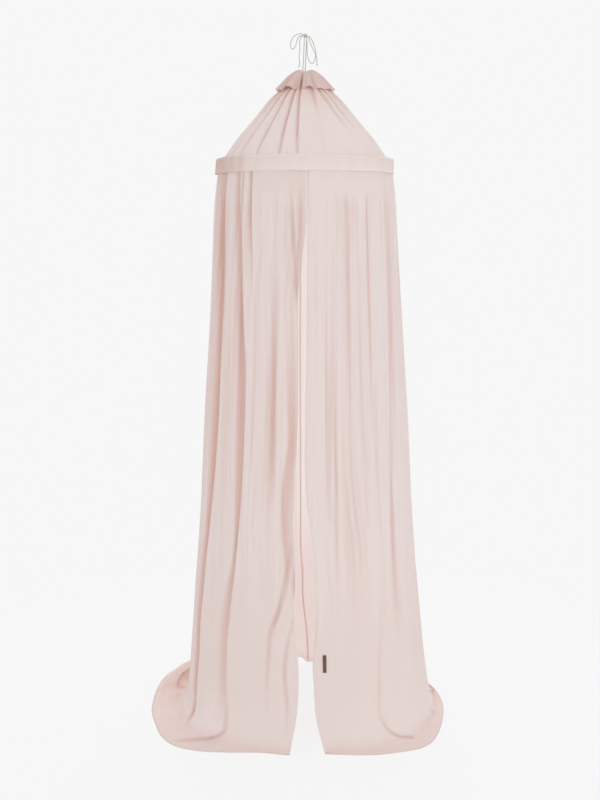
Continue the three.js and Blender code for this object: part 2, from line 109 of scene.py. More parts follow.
right_loop_route = [
    (0.0026, -0.0079, 0.004), (0.0044, -0.0096, -0.003), (0.005, -0.0106, -0.015),
    (0.005, -0.0114, -0.030), (0.0054, -0.012, -0.045), (0.007, -0.012, -0.060),
    (0.0106, -0.012, -0.071), (0.0164, -0.012, -0.078), (0.0226, -0.012, -0.0785),
    (0.028, -0.012, -0.072), (0.031, -0.012, -0.060), (0.0304, -0.012, -0.050),
    (0.0266, -0.0116, -0.042), (0.0205, -0.011, -0.030), (0.0146, -0.010, -0.016),
    (0.0108, -0.0074, -0.004), (0.0076, -0.0052, 0.003),
]
left_tail_route = [
    (-0.0072, -0.0036, 0.0036), (-0.0124, -0.0056, 0.0014), (-0.0164, -0.0064, -0.005),
    (-0.0182, -0.0068, -0.014), (-0.0178, -0.007, -0.027), (-0.0172, -0.007, -0.039),
    (-0.0194, -0.007, -0.051), (-0.0194, -0.007, -0.063), (-0.018, -0.007, -0.075),
    (-0.0186, -0.007, -0.084), (-0.0224, -0.007, -0.092),
]
right_tail_route = [
    (0.0082, -0.0012, 0.0044), (0.0136, -0.0024, 0.001), (0.0186, -0.0034, -0.0056),
    (0.024, -0.004, -0.016), (0.0284, -0.0042, -0.028), (0.0318, -0.0042, -0.042),
    (0.034, -0.0042, -0.056), (0.0354, -0.0042, -0.068), (0.0362, -0.0042, -0.079),
]


def smooth_path(route, step):
    """Points along a smooth curve through the route, one step apart"""
    points = [Vector(p) for p in route]
    ends = [points[0] * 2 - points[1], points[-1] * 2 - points[-2]]
    points = [ends[0], *points, ends[1]]
    fine = []
    for p0, p1, p2, p3 in zip(points, points[1:], points[2:], points[3:]):
        t0, t1, t2 = ((b - a).length ** 0.5 for a, b in ((p0, p1), (p1, p2), (p2, p3)))
        start = ((p1 - p0) / t0 - (p2 - p0) / (t0 + t1) + (p2 - p1) / t1) * t1
        end = ((p2 - p1) / t1 - (p3 - p1) / (t1 + t2) + (p3 - p2) / t2) * t1
        for k in range(24):
            t = k / 24
            fine.append(
                p1 * (2 * t**3 - 3 * t**2 + 1) + p2 * (3 * t**2 - 2 * t**3)
                + start * (t**3 - 2 * t**2 + t) + end * (t**3 - t**2)
            )
    fine.append(points[-2])
    line = np.array([tuple(p) for p in fine])
    along = np.concatenate([[0], np.linalg.norm(np.diff(line, axis=0), axis=1).cumsum()])
    even = np.linspace(0, along[-1], max(2, round(along[-1] / step)) + 1)
    return np.stack([np.interp(even, along, line[:, k]) for k in range(3)], axis=1)


def rope_mesh(bm, path, diameter):
    """Tube with the grooves of its plies along a path, closed by a small dome at each end"""
    tangents = np.gradient(path, axis=0)
    tangents /= np.linalg.norm(tangents, axis=1)[:, None]
    normal = Vector(tangents[0]).orthogonal().normalized()
    along_map = bm.loops.layers.uv.verify()
    rings, places = [], []
    travelled = 0.0
    last = len(path) - 1
    for i, centre in enumerate(path):
        tangent = Vector(tangents[i])
        normal = (normal - tangent * normal.dot(tangent)).normalized()
        side = tangent.cross(normal)
        if i:
            travelled += float(np.linalg.norm(path[i] - path[i - 1]))
        dome = math.sqrt(min(1, (min(i, last - i) + 0.35) / 1.6))
        ring = []
        for k in range(cord_sides):
            angle = 2 * math.pi * k / cord_sides
            groove = 0.5 + 0.5 * math.cos(ply_count * (angle - 2 * math.pi * travelled / ply_pitch))
            reach = diameter / 2 * (1.03 - 2 * ply_groove_share * (1 - groove)) * dome
            out = normal * math.cos(angle) + side * math.sin(angle)
            ring.append(bm.verts.new(Vector(centre) + out * reach))
        rings.append(ring)
        places.append(travelled)
    for i in range(last):
        for k in range(cord_sides):
            n = (k + 1) % cord_sides
            face = bm.faces.new((rings[i][k], rings[i][n], rings[i + 1][n], rings[i + 1][k]))
            corners = ((k, i), (k + 1, i), (k + 1, i + 1), (k, i + 1))
            for loop, (across, down) in zip(face.loops, corners):
                loop[along_map].uv = (across / cord_sides * math.pi * diameter, places[down])
    bm.faces.new(rings[0][::-1])
    bm.faces.new(rings[-1])


def new_object(name, mesh_source, material):
    """Object of a finished bmesh, with its faces smooth"""
    mesh = bpy.data.meshes.new(name)
    mesh_source.to_mesh(mesh)
    mesh_source.free()
    mesh.materials.append(material)
    piece = bpy.data.objects.new(name, mesh)
    scene.collection.objects.link(piece)
    piece.data.polygons.foreach_set("use_smooth", [True] * len(mesh.polygons))
    return piece


def rope_object(name, paths, diameter, material):
    """Object of one or more ropes"""
    bm = bmesh.new()
    for path in paths:
        rope_mesh(bm, path, diameter)
    bmesh.ops.recalc_face_normals(bm, faces=bm.faces)
    return new_object(name, bm, material)


def new_material(name, roughness, specular=0.5):
    """Node material with a Principled shader, and its node tree"""
    material = bpy.data.materials.new(name)
    material.use_nodes = True
    shader = material.node_tree.nodes["Principled BSDF"]
    shader.inputs["Roughness"].default_value = roughness
    shader.inputs["Specular IOR Level"].default_value = specular
    return material, material.node_tree, shader


def feed(tree, socket, value):
    """Link another node's output to a socket, or set the socket's own value"""
    if isinstance(value, bpy.types.NodeSocket):
        tree.links.new(value, socket)
    else:
        socket.default_value = value


def new_node(tree, kind, output, *values, **named):
    """Output of a new node, whose inputs are given in their order or by name"""
    node = tree.nodes.new("ShaderNode" + kind)
    for socket, value in (*enumerate(values), *named.items()):
        feed(tree, node.inputs[socket], value)
    return node.outputs[output]


def calculate(tree, operation, *values):
    """Output of a math node"""
    result = new_node(tree, "Math", 0, *values)
    result.node.operation = operation
    return result


def noise_at(tree, place, scale, detail=2.0):
    return new_node(tree, "TexNoise", "Fac", Vector=place, Scale=scale, Detail=detail)


def colour_ramp(tree, share, deep, light, low=0.0, high=1.0):
    """Output of a colour ramp from deep to light"""
    result = new_node(tree, "ValToRGB", 0, share)
    for element, position, colour in zip(result.node.color_ramp.elements, (low, high), (deep, light)):
        element.position = position
        element.color = (*colour, 1)
    return result


def cover(tree, shader, colour, height, strength, distance=0.0002):
    """Give a shader its colour, and the small relief of its surface"""
    feed(tree, shader.inputs["Base Color"], colour)
    bump = new_node(tree, "Bump", 0, Height=height, Strength=strength, Distance=distance)
    feed(tree, shader.inputs["Normal"], bump)
    return bump


def object_place(tree):
    return new_node(tree, "TexCoord", "Object")


def map_place(tree):
    """The place on a piece's own map, in metres, and its two parts"""
    place = new_node(tree, "UVMap", "UV")
    split = new_node(tree, "SeparateXYZ", 0, place).node
    return place, split.outputs["X"], split.outputs["Y"]


def cotton_cord_material():
    """Matt off-white cotton with short fibres, and painted shade that darkens the grooves between the plies
    """
    material, tree, shader = new_material("cotton_cord", roughness=0.88, specular=0.2)
    _, across, along = map_place(tree)
    # The plies wind once round the cord in each pitch
    wind = calculate(tree, "MULTIPLY", along, -math.pi * cord_diameter / ply_pitch)
    turn = calculate(tree, "MULTIPLY", calculate(tree, "ADD", across, wind), 2 * ply_count / cord_diameter)
    groove = calculate(tree, "MULTIPLY_ADD", calculate(tree, "COSINE", turn), 0.5, 0.5)
    # Painted shade: the colour is darker in the grooves between the plies
    tint = colour_ramp(tree, groove, deep=(0.40, 0.385, 0.37), light=(0.66, 0.65, 0.63), high=0.55)
    cover(tree, shader, tint, noise_at(tree, object_place(tree), 1400, 3), strength=0.4)
    return material


cotton_cord = cotton_cord_material()


def free_cord(name, path, node):
    piece = rope_object(name, [path], cord_diameter, cotton_cord)
    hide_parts(node)
    return piece


neck_turn = np.radians(np.linspace(84, -212, neck_points))
neck_ring = [(neck_cord_radius * math.cos(a), neck_cord_radius * math.sin(a), neck_z) for a in neck_turn]
hanging_path = smooth_path([*hanging_down, *neck_ring, *hanging_up], cord_step)
hanging_cord = free_cord("hanging_cord_rope", hanging_path, "hanging_cord")
# The two strands twist over their free height when the canopy turns on its hook
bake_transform(hanging_cord, "hook_cord", "canopy", start=(0, 0, -0.004), end=(0, 0, -0.09))

for name, route, node, far_end in (
    ("left_loop", left_loop_route, "bow_loop_left", "object"),
    ("right_loop", right_loop_route, "bow_loop_right", "object"),
    ("left_tail", left_tail_route, "bow_tail_left", "bare"),
    ("right_tail", right_tail_route, "bow_tail_right", "knot"),
):
    path = smooth_path(route, cord_step)
    bow_cord = free_cord(name, path, node)
    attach(bow_cord, "hook_cord")

# The knot of the bow: the two ends of the cord cross inside, and a wrap of two and a half turns
# of the same cord holds them.
knot_low, knot_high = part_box("bow_knot")
knot_middle = (knot_low + knot_high) / 2
wrap_radius = (knot_high.z - knot_low.z) / 2 - cord_diameter / 2
wrap_turns = 2.5
wrap_pitch = 0.0033
wrap_points = 20


def bow_knot():
    wrap = []
    for i in range(wrap_points + 1):
        t = i / wrap_points - 0.5
        angle = 2 * math.pi * wrap_turns * t
        x = knot_middle.x + wrap_pitch * wrap_turns * t
        wrap.append((x, -wrap_radius * math.cos(angle), knot_middle.z + wrap_radius * math.sin(angle)))
    crossings = [
        [left_loop_route[0], (-0.003, -0.001, 0.0078), (0.002, -0.001, 0.006), right_loop_route[-1]],
        [left_loop_route[-1], (-0.003, 0.0018, 0.0062), (0.003, 0.0012, 0.0056), right_tail_route[0]],
        [left_tail_route[0], (-0.0046, -0.0062, 0.0052), (-0.001, -0.0078, 0.0062), right_loop_route[0]],
        [hanging_down[0], (-0.0028, 0.0002, 0.003), (0, 0.0004, 0.0048), (0.0028, 0.0002, 0.003),
         hanging_up[-1]],
    ]
    paths = [smooth_path(route, cord_step) for route in (wrap, *crossings)]
    knot = rope_object("bow_wraps", paths, cord_diameter, cotton_cord)
    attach(knot, "hook_cord")
    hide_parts("bow_knot")


bow_knot()

# The end knot of the right tail: an overhand knot in the same cord, pulled tight, with a short
# stub under it.
end_low, end_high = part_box("tail_end_knot")
end_middle = (end_low + end_high) / 2
end_cord_share = 0.36
end_knot_points = 36


def end_knot():
    width = end_high.x - end_low.x
    height = end_high.z - end_low.z
    thick = width * end_cord_share
    points = []
    for i in range(end_knot_points):
        t = 2 * math.pi * i / end_knot_points
        ring = (math.sin(t) + 2 * math.sin(2 * t)) / 3
        rise = (math.cos(t) - 2 * math.cos(2 * t)) / 3
        points.append((
            end_middle.x + ring * (width - thick) / 2,
            end_middle.y - math.sin(3 * t) * (width - thick) / 3,
            end_middle.z + rise * (height - thick) / 2,
        ))
    stub = [end_middle + Vector((0, 0, height / 2)), end_middle + Vector((0.0004, 0, -height * 0.7))]
    paths = [smooth_path(route, cord_step) for route in ([*points, points[0]], stub)]
    knot = rope_object("tail_knot", paths, thick, cotton_cord)
    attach(knot, "hook_cord")
    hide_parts("tail_end_knot")


end_knot()


# The hoop: four bent tubes of white plastic with a plug in each joint, inside the cloth casing,
# so that the canopy packs flat.
def hoop_material():
    """Satin white plastic with the faint run marks of an extruded tube"""
    material, tree, shader = new_material("hoop_plastic", roughness=0.45)
    marks = noise_at(tree, object_place(tree), 160)
    tint = colour_ramp(tree, marks, deep=(0.74, 0.72, 0.68), light=(0.84, 0.82, 0.79))
    cover(tree, shader, tint, marks, strength=0.15)
    return material


hoop_plastic = hoop_material()
for name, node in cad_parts.items():
    if name.startswith(("hoop_tube", "hoop_plug")):
        node.data.materials.clear()
        node.data.materials.append(hoop_plastic)


# The skirt: two halves of thin pink cotton muslin, each one cloth from its front edge round to
# the centre back. Their tops are gathered into the casing, their front edges meet in a slit, and
# their lower ends trail on the floor at the sides.
cloth_thickness = 0.0008
hem_thickness = 0.0018
hem_depth = 0.018
hem_stitches = hem_depth - 0.002
stitch_length = 0.003
stitch_width = 0.0007
band_low, band_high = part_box("hoop_band")
skirt_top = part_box("front_curtain_left")[1].z
band_edge = band_low.z
skirt_top_radius = 0.2764
back_top_radius = 0.2729
band_radius = 0.281
side_hem_radius = 0.380
front_hem_radius = 0.352
back_inset = 0.014
# How much further out the sides hang: height above the floor, then the distance
side_swell = [
    (0, 0.024), (0.15, 0.020), (0.3, 0.0185), (0.45, 0.016), (0.55, 0.012), (0.7, 0.0075), (1.0, 0.005),
    (1.3, 0.001), (1.8, 0),
]
lying_height = 0.0014
skirt_columns = 250
skirt_rows = 180


def smooth_table(table, places):
    """Values at the places of a smooth curve through a table of (place, value) rows"""
    x, y = np.array(sorted(table), float).T
    slopes = np.gradient(y, x)
    at = np.clip(places, x[0], x[-1])
    i = np.clip(np.searchsorted(x, at, side="right") - 1, 0, len(x) - 2)
    width = x[i + 1] - x[i]
    t = (at - x[i]) / width
    return (
        y[i] * (2 * t**3 - 3 * t**2 + 1) + y[i + 1] * (3 * t**2 - 2 * t**3)
        + slopes[i] * width * (t**3 - 2 * t**2 + t) + slopes[i + 1] * width * (t**3 - t**2)
    )


def ease(start, full, value):
    """Smooth step from 0 where something starts to 1 where it is full"""
    t = np.clip((value - start) / (full - start), 0, 1)
    return t * t * (3 - 2 * t)


# Front edges: height above the floor, then the place across the front
left_edge = [
    (0, -0.047), (0.034, -0.042), (0.1, -0.030), (0.19, -0.0226), (0.3, -0.0238), (0.37, -0.034),
    (0.47, -0.0385), (0.55, -0.0325), (0.64, -0.0353), (0.71, -0.0392), (0.8, -0.0352), (0.98, -0.0275),
    (1.17, -0.0236), (1.3, -0.0246), (1.39, -0.0259), (1.463, -0.0204), (1.522, -0.0126), (1.58, -0.0038),
    (1.635, 0.0021), (1.72, 0.006), (1.826, 0.0072),
]
right_edge = [
    (0, 0.0589), (0.121, 0.0319), (0.22, 0.0258), (0.275, 0.022), (0.385, 0.0312),
    (0.447, 0.035), (0.539, 0.0312), (0.658, 0.0232), (0.777, 0.0061), (0.895, -0.0019),
    (1.038, -0.0011), (1.272, 0.003), (1.494, 0.0049), (1.639, 0.0065), (1.826, 0.0084),
]
# Centre back seam: height above the floor, then the place across the back
back_seam = [
    (0, 0.0135), (0.035, 0.0126), (0.14, 0.0069), (0.21, -0.0016), (0.28, -0.007), (0.36, -0.0078),
    (0.43, -0.0132), (0.6, -0.0145), (1.0, -0.0155), (1.3, -0.0155), (1.5, -0.014), (1.82, 0),
]
# Outer edge of each train on the floor: degrees from the front, then the radius
left_train = [
    (0, 0.369), (7, 0.373), (23, 0.383), (35, 0.429), (45, 0.481), (53, 0.514), (62, 0.522),
    (72, 0.517), (84, 0.521), (95, 0.526), (106, 0.541), (113, 0.553), (121, 0.562),
    (128, 0.556), (136, 0.512), (143, 0.445), (150, 0.396), (165, 0.372), (180, 0.371),
]
right_train = [
    (0, 0.363), (9, 0.367), (19, 0.389), (31, 0.429), (40, 0.458), (49, 0.488), (55, 0.492),
    (61, 0.485), (72, 0.474), (94, 0.473), (110, 0.475), (119, 0.465), (128, 0.436),
    (136, 0.403), (150, 0.376), (180, 0.371),
]
# Height at which the cloth starts to turn out towards its train: degrees from the front, height
left_flare = [
    (0, 0.07), (30, 0.09), (55, 0.15), (70, 0.10), (80, 0.05), (100, 0.07), (130, 0.08), (150, 0.04),
    (180, 0.03),
]
right_flare = [
    (0, 0.07), (25, 0.12), (45, 0.25), (70, 0.36), (82, 0.44), (95, 0.55), (120, 0.3), (140, 0.07),
    (180, 0.03),
]

# Folds that show in each half. A line gives the height above the floor, or less than zero along the
# train, and degrees from the front. Near and far are the fold's half widths towards the front and
# away from it, and tone says how much painted shade darkens and pinks the cloth in its valley.
left_folds = [
    {"line": [(1.8, 62), (1.67, 61.8), (1.59, 61.3), (1.44, 60), (1.33, 60), (1.2, 60.8), (1.08, 61.3),
              (0.8, 64.5), (0.556, 69.2), (0.454, 70.2), (0.373, 71.6), (0.236, 70.8), (0.143, 71.4),
              (0.08, 70.5), (0.06, 68.3), (0.02, 66)],
     "near": 0.014, "far": [(1.8, 0.050), (1.52, 0.036), (1.36, 0.028), (1.0, 0.026), (0.5, 0.028),
                            (0.2, 0.022), (0.05, 0.012)],
     "tone": 0.85, "ridge": 0.2,
     "depth": [(1.8, 0.004), (1.6, 0.008), (0.6, 0.009), (0.2, 0.010), (0.05, 0.008), (0.0, 0)]},
    {"line": [(1.8, 75), (1.6, 75), (1.5, 73)], "near": 0.008, "far": 0.012, "tone": 0.8,
     "depth": [(1.8, 0.005), (1.6, 0.005), (1.5, 0)]},
    {"line": [(1.8, 46.2), (1.52, 41.8), (1.37, 40), (1.22, 37.4), (1.07, 36.9), (0.86, 37.8), (0.67, 39.8),
              (0.55, 42), (0.4, 45), (0.33, 46.2), (0.16, 45), (0.1, 43.8), (0.05, 43)],
     "near": 0.005, "far": [(1.8, 0.014), (1.5, 0.022), (1.22, 0.034), (1.0, 0.030), (0.8, 0.020),
                            (0.6, 0.012), (0.45, 0.030), (0.2, 0.036)],
     "tone": 0.72, "ridge": 0.5,
     "depth": [(1.8, 0.005), (1.6, 0.008), (1.4, 0.012), (0.9, 0.012), (0.55, 0.008), (0.35, 0.005),
               (0.15, 0.003), (0.04, 0)]},
    {"line": [(1.8, 42), (1.7, 41.5), (1.6, 41.1)], "near": 0.003, "far": 0.004, "tone": 0.5,
     "depth": [(1.8, 0.005), (1.7, 0.006), (1.62, 0.003), (1.55, 0)]},
    {"line": [(1.8, 35.8), (1.7, 35), (1.58, 34.1), (1.48, 33.3), (1.3, 33)], "near": 0.003, "far": 0.007,
     "tone": 0.6, "depth": [(1.8, 0.006), (1.7, 0.008), (1.5, 0.005), (1.35, 0)]},
    {"line": [(1.5, 17.4), (1.1, 18.6), (0.85, 19)], "near": 0.008, "far": 0.014, "tone": 0.4,
     "depth": [(1.6, 0), (1.4, 0.004), (1.2, 0.007), (0.95, 0.006), (0.75, 0)]},
    {"line": [(1.3, 10), (1.1, 9.6), (1.0, 8.8), (0.86, 11.6), (0.7, 12.0), (0.6, 10.5)],
     "near": 0.020, "far": 0.006, "tone": 0.5,
     "depth": [(1.35, 0), (1.15, 0.004), (0.95, 0.007), (0.7, 0.008), (0.55, 0.003), (0.45, 0)]},
    {"line": [(0.7, 6), (0.6, 9.6), (0.44, 15.4), (0.39, 18.5), (0.3, 20), (0.15, 20.6)],
     "near": 0.009, "far": 0.005, "tone": 0.4,
     "depth": [(0.72, 0), (0.58, 0.005), (0.4, 0.006), (0.25, 0.004), (0.1, 0)]},
    {"line": [(0.47, 13.5), (0.42, 16), (0.36, 17.5)], "near": 0.005, "far": 0.004, "tone": 0.3,
     "depth": [(0.5, 0), (0.42, 0.004), (0.34, 0)]},
    {"line": [(0.62, 7), (0.53, 6.2), (0.46, 4.6), (0.42, 6.4), (0.35, 9.4), (0.25, 11.3), (0.16, 9.8),
              (0.05, 9.4)],
     "near": 0.007, "far": 0.005, "tone": 0.4,
     "depth": [(0.62, 0), (0.5, 0.008), (0.4, 0.003), (0.3, 0.005), (0.12, 0.003), (0.03, 0)]},
    {"line": [(1.82, 10), (1.69, 8.7), (1.55, 7.1), (1.41, 5.4), (1.36, 4.8)], "near": 0.005, "far": 0.004,
     "tone": 0.35, "depth": [(1.8, 0), (1.7, 0.003), (1.55, 0.006), (1.42, 0.006), (1.34, 0)]},
    {"line": [(1.82, 5), (1.74, 4), (1.63, 3.2), (1.5, 3.9), (1.42, 4.5)], "near": 0.016, "far": 0.012,
     "tone": 0.3, "depth": [(1.8, 0), (1.72, 0.004), (1.6, 0.007), (1.48, 0.006), (1.4, 0)]},
]
right_folds = [
    {"line": [(1.3, 15.6), (0.93, 16.4), (0.62, 17), (0.5, 17)], "near": 0.006, "far": 0.006, "tone": 0.35,
     "depth": [(1.3, 0), (0.95, 0.004), (0.7, 0.004), (0.5, 0)]},
    {"line": [(1.6, 61), (1.1, 58), (0.65, 56), (0.4, 57)], "near": 0.022, "far": 0.020, "tone": 0.3,
     "depth": [(1.6, 0.002), (1.2, 0.008), (0.7, 0.009), (0.4, 0.003), (0.3, 0)]},
    {"line": [(1.7, 38), (1.0, 37), (0.6, 36)], "near": 0.009, "far": 0.009, "tone": 0.25,
     "depth": [(1.7, 0), (1.3, 0.005), (0.9, 0.005), (0.5, 0)]},
    {"line": [(1.75, 27), (1.4, 26), (1.0, 26.5)], "near": 0.006, "far": 0.008, "tone": 0.25,
     "depth": [(1.75, 0), (1.5, 0.004), (1.2, 0.003), (1.0, 0)]},
    {"line": [(0.6, 44.5), (0.45, 43.5), (0.345, 42.3), (0.267, 41), (0.174, 39.6), (0.11, 38.3),
              (0.085, 39), (0.04, 42.4), (0, 48)],
     "near": 0.004, "far": 0.014, "tone": 0.3,
     "depth": [(0.6, 0), (0.35, 0.002), (0.15, 0.004), (0.05, 0.002), (0, 0)]},
    {"line": [(0.6, 4), (0.4, 5.2), (0.3, 5)], "near": 0.006, "far": 0.005, "tone": 0.3,
     "depth": [(0.62, 0), (0.45, 0.004), (0.28, 0)]},
]
# Where a fold ends in a layer that lies over the train beside it: its line, height, reach, and the tone of
# the painted shadow line along its edge
left_laps = [
    {"line": [(0.25, 45.5), (0.167, 43.5), (0.089, 42), (0.058, 41.5), (0.034, 42), (0.023, 43.5),
              (-0.026, 47.5), (-0.077, 51.5), (-0.118, 55), (-0.15, 59)],
     "height": [(0.25, 0), (0.1, 0.007), (0, 0.013), (-0.08, 0.010), (-0.115, 0.005), (-0.14, 0)],
     "reach": 0.09, "tone": 0.4},
    {"line": [(0.05, 93), (-0.02, 94.5), (-0.05, 93), (-0.15, 90)], "reach": 0.03, "tone": 0.12,
     "height": [(0.08, 0), (0.03, 0.003), (-0.02, 0.007), (-0.06, 0.003), (-0.09, 0)]},
    {"line": [(0.05, 100), (-0.02, 102), (-0.06, 101), (-0.15, 97)], "reach": 0.026, "tone": 0.2,
     "height": [(0.08, 0), (0.03, 0.003), (-0.03, 0.008), (-0.07, 0.004), (-0.11, 0)]},
    {"line": [(0.05, 108), (-0.04, 111), (-0.08, 109), (-0.15, 106)], "reach": 0.03, "tone": 0.1,
     "height": [(0.08, 0), (0.03, 0.002), (-0.05, 0.006), (-0.09, 0.003), (-0.13, 0)]},
    {"line": [(0.05, 118), (-0.06, 121), (-0.12, 119), (-0.15, 118)], "reach": 0.026, "tone": 0.1,
     "height": [(0.08, 0), (0.03, 0.002), (-0.06, 0.005), (-0.11, 0.003), (-0.15, 0)]},
]
right_laps = [
    {"line": [(0.2, 40.3), (0.1, 38.2), (0.085, 39), (0.06, 40.6), (0.04, 42.4), (0.025, 45), (-0.009, 49.5),
              (-0.05, 51.8), (-0.09, 54.5)],
     "height": [(0.15, 0), (0.08, 0.004), (0.03, 0.009), (-0.02, 0.008), (-0.06, 0.004), (-0.09, 0)],
     "reach": 0.07, "tone": 0.3},
    {"line": [(0.05, 78), (-0.03, 79), (-0.15, 80)], "reach": 0.03, "tone": 0.12,
     "height": [(0.08, 0), (0.03, 0.004), (-0.03, 0.008), (-0.08, 0.002), (-0.12, 0)]},
    {"line": [(0.05, 98), (-0.03, 99), (-0.15, 100)], "reach": 0.025, "tone": 0.15,
     "height": [(0.08, 0), (0.03, 0.005), (-0.03, 0.010), (-0.08, 0.002), (-0.12, 0)]},
]


ridge_gap, ridge_width = 0.009, 0.008
lap_edge = 0.004
# A fold or a lap of this depth has its full painted shade
full_tone_depth = 0.008
# Noise that shapes each half: depth or painted shade, its width and length, and what it adds to the half's
# seed
fine_gathers = [(0.0036, 0.030, 1.1, 0), (0.0022, 0.0135, 0.7, 3), (0.0007, 0.007, 0.5, 5)]
broad_wave = (0.0060, 0.11, 1.6, 7)
gather_tones = {-1: (0.19, 0.019, 0.9, 19), 1: (0.27, 0.019, 0.9, 19)}
pleat_drift = [(1.1, 0.17, 2.2, 11), (0.25, 0.06, 0.7, 23)]
pleat_uneven = (0.5, 0.09, 0.8, 29)
train_waves = [(0.004, 0.045, 0.3, 13), (0.0015, 0.018, 0.12, 17)]
pleat_spacing, pleat_depth = 0.058, 0.0080
pucker_spacing, pucker_depth = 0.0105, 0.0006
heap_height = 0.040
mean_radius = 0.33
# Where something starts and where it is full, for ease: heights above the floor
casing_foot, pucker_foot = (1.716, 1.724), (1.70, 1.79)
gathers_top, gathers_foot = (1.735, 1.672), (0.3, 0.95)
wave_top, wave_foot = (1.8, 1.3), (-0.02, 0.4)
pleats_top, pleats_foot = (1.81, 1.6), (0.0, 0.5)
lying_top, heap_top, heap_shade = (0.05, -0.01), (0.03, -0.07), (-0.16, -0.05)
foot_shade, rear_shade, painted_light_foot, seam_lift_top = (0.8, 0.2), (1.1, 0.3), (0.35, 0.8), (0.3, 0.0)
# The same in degrees from the front
swell_front, swell_rear, inset_front = (50, 85), (140, 105), (118, 150)
pleats_front, pleats_rear = (90, 105), (172, 160)
heap_front, heap_rear = (80, 112), (152, 132)
rear_shade_front, painted_light_front = (140, 172), (55, 80)
# The same in distances from the hem and from the back seam
hem_side, seam_side, seam_lift_end = (0.0, 0.06), (0.002, 0.028), (0.3, 0.06)
# How much painted shade darkens and pinks the cloth, and for the last, how much painted light makes the right
# half paler
casing_tone, pleat_tone, lying_tone, heap_tone, foot_tone, painted_light_tone = 0.07, 0.5, 0.24, 0.3, 0.11, 0.07


def streaks(across, down, width, length, seed):
    """Noise in long streaks down the cloth, from -1 to 1"""
    flat = [noise.noise(Vector((a / width, d / length, seed))) for a, d in zip(across.flat, down.flat)]
    return np.array(flat).reshape(across.shape) * 1.6


def line_distance(line, angle, radius, height):
    """Distance of each point from a line down the cloth, less than zero towards the front"""
    slope = (smooth_table(line, height + 0.004) - smooth_table(line, height - 0.004)) / 0.008
    away = (angle - np.radians(smooth_table(line, height))) * radius
    return away / np.hypot(1, np.radians(slope) * radius)


def fold_valley(fold, angle, radius, height):
    """How far each point lies inside one fold, from 0 to 1, with the ridge in front of it"""
    away = line_distance(fold["line"], angle, radius, height)
    far = smooth_table(fold["far"], height) if isinstance(fold["far"], list) else fold["far"]
    share = np.where(away < 0, -away / fold["near"], away / far)
    ridge = np.exp(-(((away + fold["near"] + ridge_gap) / ridge_width) ** 2)) * fold.get("ridge", 0.35)
    depth = np.maximum(smooth_table(fold["depth"], height), 0)
    return np.exp(-(share**3)), ridge, depth


def lap_shape(lap, angle, radius, height):
    """How far a lap lifts each point, and the thin line of painted shadow along its edge"""
    away = line_distance(lap["line"], angle, radius, height)
    rise = np.maximum(smooth_table(lap["height"], height), 0)
    line = np.exp(-((away / lap_edge) ** 2)) * ease(0.2, 0.05, height)
    lift = rise * ease(-lap_edge, lap_edge, away) * np.exp(-np.maximum(away, 0) / lap["reach"])
    return lift, lap["tone"] * line * np.minimum(rise / full_tone_depth, 1)


def hem_radius(angle):
    """Radius of the line where the cloth meets the floor"""
    side = np.minimum(angle / (math.pi / 2), 1)
    return front_hem_radius + (side_hem_radius - front_hem_radius) * side


def skirt_radius(z, angle):
    """Radius of the skirt's middle line, which widens from the band to the floor"""
    degrees = np.degrees(angle)
    down = np.clip((band_edge - z) / (band_edge - floor_z), 0, 1)
    radius = band_radius + (hem_radius(angle) - band_radius) * down
    beside = ease(*swell_front, degrees) * ease(*swell_rear, degrees)
    radius = radius + smooth_table(side_swell, z - floor_z) * beside
    rear = ease(*inset_front, degrees)
    out = ease(band_edge + 0.004, band_edge - 0.05, z)
    inside = skirt_top_radius + (back_top_radius - skirt_top_radius) * rear
    return inside + (radius - back_inset * rear - inside) * out


hanging_points, turning_points, lying_points = 60, 40, 30
least_train = 0.003
turn_height = 0.02
hem_fold = 0.0008


def column_path(angle, train_radius, flare_height):
    """Rows down one column of cloth: radius, z, height above the floor or, less than zero, the way
    along the floor, and distance from the hem"""
    z = np.linspace(skirt_top, floor_z + flare_height, hanging_points)
    hanging = np.stack([skirt_radius(z, angle), z, z - floor_z], axis=1)
    foot = float(skirt_radius(np.array(floor_z), angle))
    mark = hem_radius(angle)
    train = max(train_radius - foot, least_train)
    rest = min(0.6, 0.25 + flare_height * 2) * train
    # The cloth turns from hanging to lying in a curve with three control points
    t = np.linspace(0, 1, turning_points)[1:]
    controls = (hanging[-1, 0], foot + 0.35 * rest, foot + rest)
    radius = (1 - t) ** 2 * controls[0] + 2 * t * (1 - t) * controls[1] + t**2 * controls[2]
    above = flare_height * (1 - t) ** 2
    along_floor = above - np.maximum(radius - mark, 0) * (1 - above / turn_height)
    turning = np.stack([radius, floor_z + above, np.where(above > turn_height, above, along_floor)], axis=1)
    radius = np.linspace(foot + rest, foot + train, lying_points)[1:]
    lying = np.stack([radius, np.full_like(radius, floor_z), mark - radius], axis=1)
    path = np.concatenate([hanging, turning, lying])
    along = np.concatenate([[0], np.linalg.norm(np.diff(path[:, :2], axis=0), axis=1).cumsum()])
    length = along[-1]
    hem_rows = length - np.array([hem_depth + hem_fold, hem_depth - hem_fold, hem_depth / 2, 0])
    # Rows lie three times closer at the foot than under the band
    share = np.linspace(0, 1, skirt_rows - len(hem_rows))
    even = (length - hem_depth - 5 * hem_fold) * (1.5 * share - 0.5 * share**2)
    even = np.concatenate([even, hem_rows])
    return np.stack([*(np.interp(even, along, line) for line in path.T), length - even])


